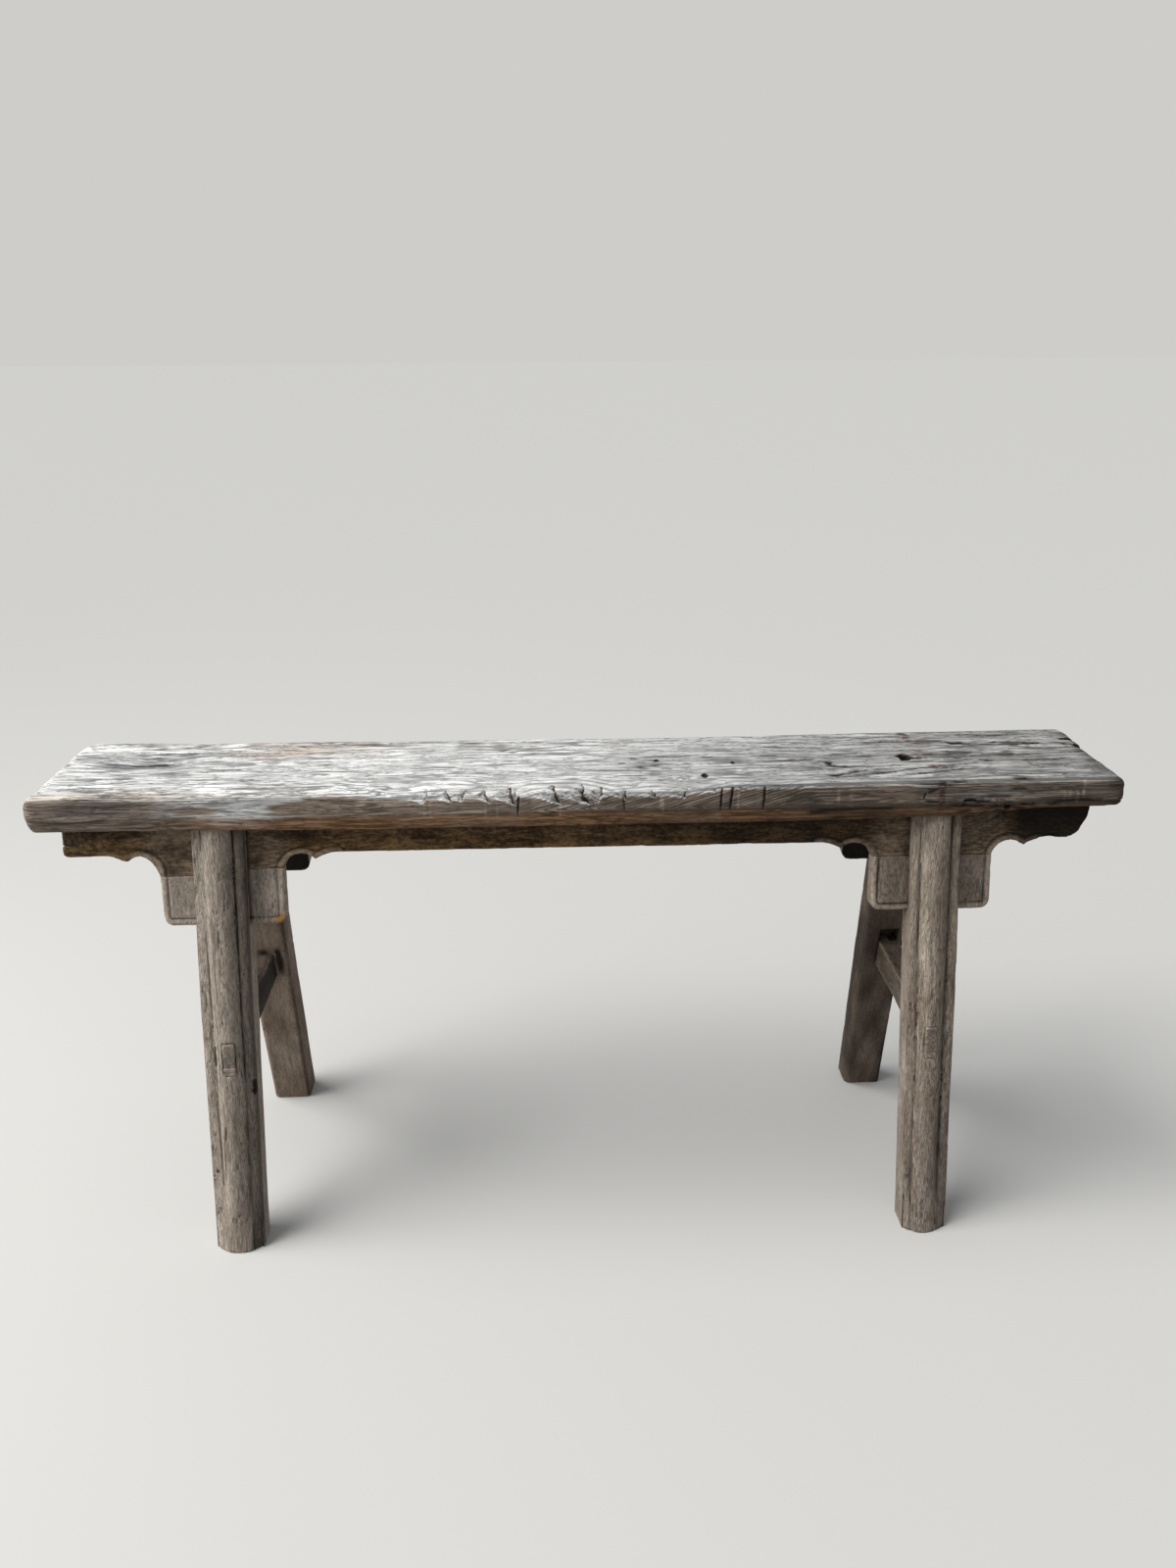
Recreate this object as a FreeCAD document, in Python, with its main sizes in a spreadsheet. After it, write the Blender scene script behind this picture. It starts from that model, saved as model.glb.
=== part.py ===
import FreeCAD, Part
import Sketcher
import math
import os

# A weathered splay-legged wooden bench. Millimetres, +X along the seat, +Y to the back, +Z up,
# with the origin on the floor under the middle of the seat.

SIZES = {
    # seat plank
    "seat_length": 1120,
    "seat_height": 510,
    "seat_thickness": 38,
    "seat_front_reach": 82,
    "seat_back_reach": 77,
    "seat_left_flare": 14,
    "seat_right_flare": 7,
    "seat_corner_round": 14,
    "seat_edge_round": 6,
    # legs, which lean outwards across the seat by the splay angle
    "splay": 10.5,
    "leg_inset": 185,
    "leg_reach": 75,
    "leg_kick": 3,
    "leg_top_width": 52,
    "leg_foot_width": 46.5,
    "leg_depth": 44,
    "leg_chamfer": 5,
    "bead_width": 8,
    "bead_rise": 2.5,
    "groove_width": 3,
    "round_rise": 8,
    "leg_tenon_width": 30,
    "leg_tenon_height": 24,
    "tenon_front_shoulder": 9,
    "tenon_back_shoulder": 2.5,
    # aprons, held in the forked tops of the legs
    "cheek_depth": 20,
    "apron_thickness": 16,
    "apron_setback": 23,
    "apron_drop": 33,
    "apron_left_round": 5,
    "apron_right_round": 22,
    "tip_run": 24,
    "tip_drop": 7,
    "arch_span": 34,
    "arch_radius": 20,
    "seam_drop": 49,
    # spandrel blocks under the aprons
    "spandrel_width": 128,
    "spandrel_drop": 109,
    "spandrel_round": 10,
    # boards that close the ends between the aprons
    "end_board_thickness": 18,
    "end_board_height": 35,
    "tongue_top_drop": 4,
    "tongue_height": 17,
    # stretchers from each front leg to its back leg, with wedged through tenons
    "stretcher_top": 240,
    "stretcher_height": 35,
    "stretcher_thickness": 24,
    "stretcher_inner_shoulder": 1,
    "stretcher_tenon_height": 27,
    "stretcher_tenon_width": 12.3,
    "wedge_length": 40,
    "wedge_taper": 4,
    # empty end of an older, taller mortise above one stretcher
    "old_mortise_height": 18,
    "old_mortise_depth": 16,
    # play left in every joint
    "fit_clearance": 0.2,
}
CUT_MARGIN = 2.0

doc = FreeCAD.newDocument("bench")
sheet = doc.addObject("Spreadsheet::Sheet", "sizes")
for row, (size_name, size_value) in enumerate(SIZES.items(), 1):
    sheet.set(f"A{row}", size_name)
    sheet.set(f"B{row}", str(size_value))
    sheet.setAlias(f"B{row}", size_name)
doc.recompute()


def size(formula):
    """Write a formula of size names as an expression on the sheet."""
    words = formula.replace("(", " ( ").replace(")", " ) ").split()
    return " ".join(f"sizes.{word}" if word in SIZES else word for word in words)


def value(expression):
    """Work an expression out to a plain number."""
    return float(sheet.evalExpression(expression))


UNDERSIDE = size("( seat_height - seat_thickness )")
LEG_SPREAD = size("( seat_length / 2 - leg_inset )")
APRON_END = size("( seat_length / 2 - apron_setback )")
TENON_TOP = size("leg_tenon_height")
APRON_BACK = size("( cheek_depth + apron_thickness )")
STRETCHER_FLOOR = size("( stretcher_top - stretcher_height )")
TENON_FLOOR = size("( stretcher_top - stretcher_tenon_height )")
STRETCHER_MIDDLE = size("( stretcher_top - stretcher_height / 2 )")
# the rail lies further out than its tenon, which is nearly flush with the rail's inner side
RAIL_SHIFT = size("( ( stretcher_thickness - stretcher_tenon_width ) / 2 - stretcher_inner_shoulder )")


# A leg's own frame: x along the seat, y from the crest of its outer face inwards, z up along the leg.
# Its origin is where the crest meets the seat's underside. A place is given by its depth into the leg
# and either its level above the floor or its rise along the leg.

def in_leg(depth, level):
    """Sketch point, in a leg's side view, at a depth and a level above the floor."""
    rise = f"({depth}) * tan(sizes.splay) - ({UNDERSIDE} - ({level})) / cos(sizes.splay)"
    return f"{depth}", rise


def in_bench(depth, level):
    """Sketch point, in the bench's side view, at a depth into the front legs and a level."""
    y = f"({depth}) / cos(sizes.splay) - sizes.leg_reach - ({UNDERSIDE} - ({level})) * tan(sizes.splay)"
    return y, f"{level}"


def from_leg(depth, rise):
    """Sketch point, in the bench's side view, at a depth into the front legs and a rise along them."""
    y = f"({depth}) * cos(sizes.splay) + ({rise}) * sin(sizes.splay) - sizes.leg_reach"
    z = f"{UNDERSIDE} - ({depth}) * sin(sizes.splay) + ({rise}) * cos(sizes.splay)"
    return y, z


def to_back(points):
    """The same outline on the back of the bench."""
    return [(f"-({y})", z) for y, z in points]


def leg_centre(level):
    """Distance of a leg's centre line from the middle of the bench, at a level above the floor."""
    return f"{LEG_SPREAD} + sizes.leg_kick * (1 - ({level}) / {UNDERSIDE})"


def chord_radius(half_chord, rise):
    """Radius of the arc that stands a rise above its chord."""
    return f"(({half_chord})^2 + ({rise})^2) / (2 * ({rise}))"


# Drawing

def new_body(label, placement=None):
    """Start a piece, with its place given by an expression."""
    body = doc.addObject("PartDesign::Body", label)
    body.Label = label
    if placement:
        body.setExpression("Placement", placement)
    return body


def new_sketch(body, role, offset=None):
    """Start a sketch on one of the body's own planes, moved along its normal."""
    sketch = body.newObject("Sketcher::SketchObject", f"{body.Label}_sketch")
    plane = next(feature for feature in body.Origin.OriginFeatures if feature.Role == role)
    sketch.AttachmentSupport = (plane, [""])
    sketch.MapMode = "FlatFace"
    if offset:
        sketch.setExpression(".AttachmentOffset.Base.z", offset)
    return sketch


def arc_edge(start, end, radius, turn):
    """The shorter arc between two points, with its centre on the left for a turn of 1, right for -1."""
    chord = end - start
    half = chord.Length / 2
    left = FreeCAD.Vector(-chord.y, chord.x, 0).normalize()
    centre = (start + end) / 2 + left * (turn * math.sqrt(max(radius ** 2 - half ** 2, 0)))
    first, last = (start, end) if turn > 0 else (end, start)
    angles = [math.atan2(point.y - centre.y, point.x - centre.x) for point in (first, last)]
    circle = Part.Circle(centre, FreeCAD.Vector(0, 0, 1), radius)
    return Part.ArcOfCircle(circle, angles[0], angles[1])


def outline(sketch, corners, arcs=None):
    """Draw a closed outline through corners; arcs maps a corner to the radius and turn of its next edge."""
    arcs = arcs or {}
    places = [FreeCAD.Vector(value(x), value(y), 0) for x, y in corners]
    edges = []
    for index, start in enumerate(places):
        end = places[(index + 1) % len(places)]
        if index in arcs:
            radius, turn = arcs[index]
            edge = sketch.addGeometry(arc_edge(start, end, value(radius), turn), False)
            bind(sketch, Sketcher.Constraint("Radius", edge, value(radius)), radius)
            edges.append((edge, 1, 2) if turn > 0 else (edge, 2, 1))
        else:
            edges.append((sketch.addGeometry(Part.LineSegment(start, end), False), 1, 2))
    for index, (edge, first, last) in enumerate(edges):
        following, next_first, _ = edges[(index + 1) % len(edges)]
        sketch.addConstraint(Sketcher.Constraint("Coincident", edge, last, following, next_first))
        for kind, formula in zip(("DistanceX", "DistanceY"), corners[index]):
            bind(sketch, Sketcher.Constraint(kind, -1, 1, edge, first, value(formula)), formula)


def bind(sketch, constraint, formula):
    """Add a constraint whose size follows an expression."""
    index = sketch.addConstraint(constraint)
    sketch.setExpression(f"Constraints[{index}]", formula)


def feature(body, kind, sketch, length=None, both_sides=False, reverse=False):
    """Pad or pocket a sketch by a length, or right through when none is given."""
    made = body.newObject(f"PartDesign::{kind}", f"{body.Label}_{kind.lower()}")
    made.Profile = sketch
    made.SideType = "Symmetric" if both_sides else "One side"
    made.Reversed = reverse
    if length:
        made.Type = "Length"
        made.setExpression("Length", length)
    else:
        made.Type = "ThroughAll"
    sketch.Visibility = False
    before = body.Shape.Volume if kind == "Pocket" else None
    doc.recompute()
    if before is not None and body.Shape.Volume > before - 1:
        raise RuntimeError(f"{made.Name} cut nothing from {body.Label}")
    return made


def round_edges(body, base, radius, wanted):
    """Round the edges of a feature that a test picks out."""
    names = [f"Edge{number}" for number, edge in enumerate(base.Shape.Edges, 1) if wanted(edge)]
    fillet = body.newObject("PartDesign::Fillet", f"{body.Label}_fillet")
    fillet.Base = (base, names)
    fillet.setExpression("Radius", radius)
    doc.recompute()
    return fillet


FRONT = f"placement(vector(0; -sizes.leg_reach; {UNDERSIDE}); rotation(0; 0; -sizes.splay))"
BACK = f"placement(vector(0; sizes.leg_reach; {UNDERSIDE}); rotation(180; 0; -sizes.splay))"
SIDES = {"front": FRONT, "back": BACK}


def hand(side, end):
    """Sign of a piece's own x: pieces at the back are turned half round."""
    return (-1 if end == "left" else 1) * (1 if side == "front" else -1)


# Seat plank

def leg_tenons():
    """Depth ranges of the two tenons on top of a leg, before and behind the apron."""
    front = (size("tenon_front_shoulder"), size("cheek_depth - fit_clearance"))
    back = (size("cheek_depth + apron_thickness + fit_clearance"), size("leg_depth - tenon_back_shoulder"))
    return front, back


def make_seat():
    """A thick plank, a little wider at its ends, with blind mortises for the legs."""
    body = new_body("seat_plank")
    end = size("seat_length / 2")
    left_back = size("seat_back_reach + seat_left_flare")
    right_back = size("seat_back_reach + seat_right_flare")
    front = size("-1 * seat_front_reach")
    sag = size("( seat_left_flare + seat_right_flare ) / 2")
    corners = [(f"-{end}", front), (end, front), (end, right_back), (f"-{end}", left_back)]
    half_back = f"sqrt(({end})^2 + (({left_back} - ({right_back})) / 2)^2)"
    sketch = new_sketch(body, "XY_Plane", UNDERSIDE)
    outline(sketch, corners, {2: (chord_radius(half_back, sag), -1)})
    plank = feature(body, "Pad", sketch, size("seat_thickness"))
    upright = round_edges(body, plank, size("seat_corner_round"), is_upright)
    round_edges(body, upright, size("seat_edge_round"), is_level)
    for sign in (-1, 1):
        cut_seat_mortises(body, f"{sign} * {LEG_SPREAD}")
    return body


def is_upright(edge):
    """Whether an edge stands along Z."""
    return edge.BoundBox.XLength + edge.BoundBox.YLength < 0.01


def is_level(edge):
    """Whether an edge lies flat."""
    return edge.BoundBox.ZLength < 0.01


def cut_seat_mortises(body, place):
    """Cut the mortises of one pair of legs, leaning as the legs do."""
    play = size("fit_clearance")
    for turned in (False, True):
        for first, last in leg_tenons():
            first, last = f"({first} - {play})", f"({last} + {play})"
            roof = f"({TENON_TOP} + {play})"
            points = [from_leg(first, f"-{CUT_MARGIN}"), from_leg(last, f"-{CUT_MARGIN}"),
                      from_leg(last, roof), from_leg(first, roof)]
            sketch = new_sketch(body, "YZ_Plane", place)
            outline(sketch, to_back(points) if turned else points)
            feature(body, "Pocket", sketch, size("leg_tenon_width + 2 * fit_clearance"), both_sides=True)


# Legs

def leg_section(sketch, width, shift):
    """A leg's section: a half round between two grooves and two beads, with a flat back."""
    half = f"({width}) / 2"
    bead = f"(({half}) - sizes.bead_width)"
    groove = f"({bead} - sizes.groove_width)"
    fall = size("round_rise")
    back = size("leg_depth")
    chamfer = size("leg_chamfer")
    right = [(f"({half}) - {chamfer}", back), (half, f"{back} - {chamfer}"), (half, fall), (bead, fall),
             (groove, fall)]
    left = [(f"-({x})", y) for x, y in reversed(right)]
    corners = [(f"({x}) + ({shift})", y) for x, y in right + left]
    bead_arc = (chord_radius(size("bead_width / 2"), size("bead_rise")), 1)
    round_arc = (chord_radius(groove, fall), 1)
    outline(sketch, list(reversed(corners)), {2: bead_arc, 4: round_arc, 6: bead_arc})


def make_leg(side, end):
    """A leg lofted from foot to top, then cut to the floor, the seat, the apron and the stretcher."""
    sign = hand(side, end)
    x_place = f"placement(vector({sign} * {LEG_SPREAD}; 0; 0); rotation(0; 0; 0))"
    body = new_body(f"{side}_{end}_leg", f"{SIDES[side]} * {x_place}")
    foot = new_sketch(body, "XY_Plane", f"-{UNDERSIDE} / cos(sizes.splay)")
    leg_section(foot, size("leg_foot_width"), f"{sign} * sizes.leg_kick")
    top = new_sketch(body, "XY_Plane", TENON_TOP)
    leg_section(top, size("leg_top_width"), "0")
    loft = body.newObject("PartDesign::AdditiveLoft", f"{body.Label}_loft")
    loft.Profile = foot
    loft.Sections = [top]
    loft.Ruled = True
    doc.recompute()
    cut_leg_ends(body)
    cut_leg_slot(body)
    cut_leg_mortise(body, sign)
    if (side, end) == ("back", "right"):
        cut_old_mortise(body, sign)
    return body


def cut_leg_ends(body):
    """Cut the sole level with the floor and the shoulders level with the seat, leaving two tenons."""
    near = f"-{CUT_MARGIN}"
    far = size(f"leg_depth + {CUT_MARGIN}")
    deep = f"-({UNDERSIDE} / cos(sizes.splay) + {CUT_MARGIN})"
    sole = new_sketch(body, "YZ_Plane")
    outline(sole, [(near, deep), (far, deep), in_leg(far, "0"), in_leg(near, "0")])
    feature(body, "Pocket", sole, both_sides=True)
    over = size(f"leg_tenon_height + {CUT_MARGIN}")
    front, back = leg_tenons()
    for first, last in ((near, front[0]), (back[1], far)):
        shoulder = new_sketch(body, "YZ_Plane")
        outline(shoulder, [in_leg(first, UNDERSIDE), in_leg(last, UNDERSIDE), (last, over), (first, over)])
        feature(body, "Pocket", shoulder, both_sides=True)
    for sign in (-1, 1):
        cheek = new_sketch(body, "YZ_Plane", size(f"{sign} * leg_tenon_width / 2"))
        outline(cheek, [in_leg(near, UNDERSIDE), in_leg(far, UNDERSIDE), (far, over), (near, over)])
        feature(body, "Pocket", cheek, size("leg_top_width"), reverse=sign > 0)


def cut_leg_slot(body):
    """Fork the top of a leg to take the apron and the spandrel block under it."""
    first = size("cheek_depth - fit_clearance")
    last = size("cheek_depth + apron_thickness + fit_clearance")
    floor = size("-1 * ( spandrel_drop + fit_clearance )")
    over = size(f"leg_tenon_height + {CUT_MARGIN}")
    sketch = new_sketch(body, "YZ_Plane")
    outline(sketch, [(first, floor), (last, floor), (last, over), (first, over)])
    feature(body, "Pocket", sketch, both_sides=True)


def mortise_floor(depth):
    """Level of the sloping floor under the wedge, at a depth into the leg."""
    return f"{STRETCHER_FLOOR} + sizes.wedge_taper * ({depth}) / sizes.leg_depth"


def stretcher_offset(sign):
    """Where the stretcher crosses a leg, in the leg's own x."""
    return f"{sign} * (({leg_centre(STRETCHER_MIDDLE)}) - {LEG_SPREAD})"


def cut_leg_mortise(body, sign):
    """Cut the through mortise for the stretcher's tenon and its wedge."""
    play = size("fit_clearance")
    near = f"-{CUT_MARGIN}"
    far = size(f"leg_depth + {CUT_MARGIN}")
    roof = f"sizes.stretcher_top + {play}"
    points = [in_leg(near, mortise_floor(near)), in_leg(far, mortise_floor(far)), in_leg(far, roof),
              in_leg(near, roof)]
    sketch = new_sketch(body, "YZ_Plane", stretcher_offset(sign))
    outline(sketch, points)
    feature(body, "Pocket", sketch, size("stretcher_tenon_width + 2 * fit_clearance"), both_sides=True)


def cut_old_mortise(body, sign):
    """Cut the blind upper end of an older mortise, left empty above the stretcher."""
    floor = "sizes.stretcher_top"
    roof = size("stretcher_top + old_mortise_height")
    blind = size("leg_depth - old_mortise_depth")
    far = size(f"leg_depth + {CUT_MARGIN}")
    sketch = new_sketch(body, "YZ_Plane", f"{stretcher_offset(sign)} + {sign} * {RAIL_SHIFT}")
    outline(sketch, [in_leg(blind, floor), in_leg(far, floor), in_leg(far, roof), in_leg(blind, roof)])
    feature(body, "Pocket", sketch, size("stretcher_thickness"), both_sides=True)


# Aprons and spandrel blocks

def apron_half(sign):
    """Lower edge of half an apron, from its middle out to its end: points, and arcs between them."""
    inner = f"{LEG_SPREAD} - sizes.spandrel_width / 2"
    outer = f"{LEG_SPREAD} + sizes.spandrel_width / 2"
    low = size("-1 * apron_drop")
    tip = size("-1 * ( apron_drop + tip_drop )")
    seam = size("-1 * seam_drop")
    xs = [f"{inner} - sizes.arch_span - sizes.tip_run", f"{inner} - sizes.arch_span", inner, outer,
          f"{outer} + sizes.arch_span", f"{outer} + sizes.arch_span + sizes.tip_run"]
    return [(f"{sign} * ({x})", z) for x, z in zip(xs, (low, tip, seam, seam, tip, low))]


def make_apron(side):
    """A long board with shaped arches beside the legs, its top edge bevelled to lie under the seat."""
    body = new_body(f"{side}_apron", SIDES[side])
    top = f"{APRON_BACK} * tan(sizes.splay)"
    low = size("-1 * apron_drop")
    end = APRON_END
    left = list(reversed(apron_half(-1)))
    right = apron_half(1)
    corners = [(f"-{end}", top), (f"-{end}", f"{low} + sizes.apron_left_round"),
               (f"-{end} + sizes.apron_left_round", low)] + left + right
    corners += [(f"{end} - sizes.apron_right_round", low), (end, f"{low} + sizes.apron_right_round"),
                (end, top)]
    tip = ("(sizes.tip_run^2 + sizes.tip_drop^2) / (2 * sizes.tip_drop)", -1)
    arch = (size("arch_radius"), -1)
    arcs = {1: ("sizes.apron_left_round", 1), 3: tip, 4: arch, 6: arch, 7: tip, 9: tip, 10: arch, 12: arch,
            13: tip, 15: ("sizes.apron_right_round", 1)}
    sketch = new_sketch(body, "XZ_Plane", f"-{APRON_BACK}")
    outline(sketch, corners, arcs)
    feature(body, "Pad", sketch, size("apron_thickness"))
    bevel_apron(body)
    for sign in (-1, 1):
        notch_apron(body, sign)
    return body


def bevel_apron(body):
    """Bevel the top edge level with the seat's underside."""
    near = size(f"cheek_depth - {CUT_MARGIN}")
    far = f"{APRON_BACK} + {CUT_MARGIN}"
    sketch = new_sketch(body, "YZ_Plane")
    outline(sketch, [in_leg(near, UNDERSIDE), in_leg(far, UNDERSIDE), (near, in_leg(far, UNDERSIDE)[1])])
    feature(body, "Pocket", sketch, both_sides=True)


def notch_apron(body, sign):
    """Notch one end of an apron for the tongue of the end board."""
    play = size("fit_clearance")
    inside = f"{sign} * ({APRON_END} - sizes.end_board_thickness - {play})"
    outside = f"{sign} * ({APRON_END} + {CUT_MARGIN})"
    roof = f"{play} - sizes.tongue_top_drop"
    floor = f"-(sizes.tongue_top_drop + sizes.tongue_height + {play})"
    sketch = new_sketch(body, "XZ_Plane")
    outline(sketch, [(inside, floor), (outside, floor), (outside, roof), (inside, roof)])
    feature(body, "Pocket", sketch, both_sides=True)


def make_spandrel(side, end):
    """The block that carries the apron's outline down each side of a leg."""
    body = new_body(f"{side}_{end}_spandrel", SIDES[side])
    middle = f"{hand(side, end)} * {LEG_SPREAD}"
    half = size("spandrel_width / 2")
    low = size("-1 * spandrel_drop")
    seam = size("-1 * seam_drop")
    corner = size("spandrel_round")
    corners = [(f"-{half}", seam), (f"-{half}", f"{low} + {corner}"), (f"-{half} + {corner}", low),
               (f"{half} - {corner}", low), (half, f"{low} + {corner}"), (half, seam)]
    sketch = new_sketch(body, "XZ_Plane", f"-{APRON_BACK}")
    outline(sketch, [(f"{middle} + ({x})", z) for x, z in corners], {1: (corner, 1), 3: (corner, 1)})
    feature(body, "Pad", sketch, size("apron_thickness"))
    return body


# End boards, stretchers and wedges

def make_end_board(end):
    """A board between the ends of the aprons, lapped through them with a tongue at each side."""
    body = new_body(f"{end}_end_board")
    floor = size("seat_height - seat_thickness - end_board_height")
    roof = size("-1 * tongue_top_drop")
    base = size("-1 * ( tongue_top_drop + tongue_height )")
    face = size("cheek_depth")
    half = [in_bench(APRON_BACK, floor), from_leg(APRON_BACK, base), from_leg(face, base),
            from_leg(face, roof), from_leg(APRON_BACK, roof), in_bench(APRON_BACK, UNDERSIDE)]
    place = f"-{APRON_END}" if end == "left" else f"{APRON_END} - sizes.end_board_thickness"
    sketch = new_sketch(body, "YZ_Plane", place)
    outline(sketch, half + list(reversed(to_back(half))))
    feature(body, "Pad", sketch, size("end_board_thickness"))
    return body


def make_stretcher(end):
    """A rail from front leg to back leg, shouldered against both and tenoned through them."""
    body = new_body(f"{end}_stretcher")
    top = "sizes.stretcher_top"
    sign = -1 if end == "left" else 1
    tenon_place = leg_centre(STRETCHER_MIDDLE)
    rail = ("sizes.leg_depth", STRETCHER_FLOOR, "stretcher_thickness", f"{tenon_place} + {RAIL_SHIFT}")
    tenons = ("0", TENON_FLOOR, "stretcher_tenon_width", tenon_place)
    for depth, floor, width, place in (rail, tenons):
        half = [in_bench(depth, floor), in_bench(depth, top)]
        sketch = new_sketch(body, "YZ_Plane", f"{sign} * ({place})")
        outline(sketch, half + list(reversed(to_back(half))))
        feature(body, "Pad", sketch, size(width), both_sides=True)
    return body


def make_wedge(side, end):
    """A tapered wedge driven in under a stretcher's tenon from outside the leg."""
    body = new_body(f"{side}_{end}_wedge")
    place = f"{-1 if end == 'left' else 1} * ({leg_centre(STRETCHER_MIDDLE)})"
    tip = size("wedge_length")
    points = [in_bench("0", mortise_floor("0")), in_bench(tip, mortise_floor(tip)),
              in_bench(tip, TENON_FLOOR), in_bench("0", TENON_FLOOR)]
    sketch = new_sketch(body, "YZ_Plane", place)
    outline(sketch, points if side == "front" else to_back(points))
    feature(body, "Pad", sketch, size("stretcher_tenon_width"), both_sides=True)
    return body


def make_bench():
    """Make every piece of the bench."""
    bodies = [make_seat()]
    for side in SIDES:
        bodies.append(make_apron(side))
        for end in ("left", "right"):
            bodies += [make_leg(side, end), make_spandrel(side, end), make_wedge(side, end)]
    for end in ("left", "right"):
        bodies += [make_end_board(end), make_stretcher(end)]
    return bodies


def check(bodies):
    """Stop if any step failed or any piece is not one sound solid."""
    doc.recompute()
    for item in doc.Objects:
        if "Invalid" in item.State or "Error" in item.State:
            raise RuntimeError(f"{item.Name} failed: {item.State}")
    for body in bodies:
        shape = body.Shape
        if shape.isNull() or not shape.isValid() or len(shape.Solids) != 1:
            raise RuntimeError(f"{body.Label} is not one sound solid")


pieces = make_bench()
check(pieces)
os.makedirs("parts", exist_ok=True)
for piece in pieces:
    piece.Shape.exportStep(f"parts/{piece.Label}.step")
    box = piece.Shape.optimalBoundingBox()
    print(piece.Label, round(piece.Shape.Volume / 1000, 1), "cm3",
          [round(number, 1) for number in (box.XMin, box.YMin, box.ZMin, box.XMax, box.YMax, box.ZMax)])
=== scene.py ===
"""A weathered splay-legged bench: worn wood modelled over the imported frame, in one studio."""

import logging
import math
from collections.abc import Iterator
from contextlib import contextmanager
from dataclasses import dataclass
from enum import Enum
from itertools import product
from typing import Optional

import bpy
import numpy as np
from mathutils import Matrix, Vector


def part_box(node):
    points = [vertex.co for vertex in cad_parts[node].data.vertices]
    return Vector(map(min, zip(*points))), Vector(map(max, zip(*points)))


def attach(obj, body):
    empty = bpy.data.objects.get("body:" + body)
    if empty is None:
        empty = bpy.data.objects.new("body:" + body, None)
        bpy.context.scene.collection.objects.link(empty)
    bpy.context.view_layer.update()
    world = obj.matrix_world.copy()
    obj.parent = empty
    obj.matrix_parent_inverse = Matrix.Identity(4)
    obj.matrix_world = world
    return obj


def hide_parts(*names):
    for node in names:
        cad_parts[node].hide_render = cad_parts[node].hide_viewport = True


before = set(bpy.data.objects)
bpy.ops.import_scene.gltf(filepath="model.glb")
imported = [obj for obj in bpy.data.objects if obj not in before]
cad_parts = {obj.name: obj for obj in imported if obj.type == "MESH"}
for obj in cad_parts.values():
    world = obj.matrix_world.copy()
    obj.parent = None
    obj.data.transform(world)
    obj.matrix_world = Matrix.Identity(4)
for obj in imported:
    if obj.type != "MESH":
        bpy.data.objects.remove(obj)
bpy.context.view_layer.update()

LOG = logging.getLogger("bench")
MM = 0.001

Point = tuple[float, float]
Place = tuple[float, float, float]
Colour = tuple[float, float, float, float]
Socket = bpy.types.NodeSocket


# Shared choices

class Side(Enum):
    """The long side of the bench that a piece belongs to, and how far it is turned."""

    FRONT = "front"
    BACK = "back"

    @property
    def turn(self) -> float:
        """Turn about the upright axis, in radians."""
        return 0.0 if self is Side.FRONT else math.pi

    @property
    def sign(self) -> float:
        """Sign of the bench's x for a positive x in the side's own frame."""
        return 1.0 if self is Side.FRONT else -1.0


class End(Enum):
    """The end of the bench that a piece belongs to."""

    LEFT = "left"
    RIGHT = "right"

    @property
    def sign(self) -> float:
        """Sign of the bench's x at this end."""
        return -1.0 if self is End.LEFT else 1.0


class Mask(Enum):
    """What age has done to a surface, and the painted shade laid in with it, kept on the mesh for its finish
    to read.
    """

    BLEACH = "bleach"
    WARM = "warm"
    # Dirt and dark marks, and also painted shade in hollows, under the seat, beside the legs and on pieces
    # in shadow
    GRIME = "grime"
    STAIN = "stain"
    RUST = "rust"
    WEAR = "wear"
    SMOOTH = "smooth"


# Numbers and noise

def srgb(red: float, green: float, blue: float) -> Colour:
    """Turn a screen colour of 0 to 255 into the linear colour that a shader takes.

    Args:
        red: Red on the screen.
        green: Green on the screen.
        blue: Blue on the screen.

    Returns:
        The linear colour, opaque.
    """
    shares = [value / 255.0 for value in (red, green, blue)]
    linear = [share / 12.92 if share <= 0.04045 else ((share + 0.055) / 1.055) ** 2.4 for share in shares]
    return (linear[0], linear[1], linear[2], 1.0)


def ease(values: np.ndarray, low: float, high: float) -> np.ndarray:
    """Rise smoothly from 0 at low to 1 at high, or the other way round.

    Args:
        values: Numbers to ease.
        low: Where the rise starts.
        high: Where the rise ends.

    Returns:
        Numbers from 0 to 1.
    """
    share = np.clip((values - low) / (high - low), 0.0, 1.0)
    return share * share * (3.0 - 2.0 * share)


def zone(values: np.ndarray, start: float, full: float, fade: float, stop: float) -> np.ndarray:
    """1 between full and fade, easing down to 0 at start and at stop."""
    return ease(values, start, full) * ease(values, stop, fade)


def bell(values: np.ndarray, centre: float, width: float) -> np.ndarray:
    """A smooth bump of height 1 about a centre."""
    return np.exp(-(((values - centre) / width) ** 2))


def lattice(points: np.ndarray, seed: int) -> np.ndarray:
    """Smooth seeded noise with cells of size one.

    Args:
        points: Places, one per row.
        seed: Picks one of many patterns.

    Returns:
        Noise between -1 and 1, one number per place.
    """
    cell = np.floor(points).astype(np.int64)
    part = points - cell
    blend = part * part * part * (part * (part * 6.0 - 15.0) + 10.0)
    total = np.zeros(len(points))
    for corner in product((0, 1), repeat=3):
        key = (cell + np.array(corner)) * np.array((374761393, 668265263, 1442695041))
        mixed = (key.sum(axis=1) + seed * 1274126177) & 0xFFFFFFFF
        mixed = ((mixed ^ (mixed >> 15)) * 2246822519) & 0xFFFFFFFF
        mixed = ((mixed ^ (mixed >> 13)) * 3266489917) & 0xFFFFFFFF
        height = ((mixed ^ (mixed >> 16)) & 0xFFFF) / 32767.5 - 1.0
        share = np.where(np.array(corner) == 1, blend, 1.0 - blend)
        total += height * share.prod(axis=1)
    return total


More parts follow.
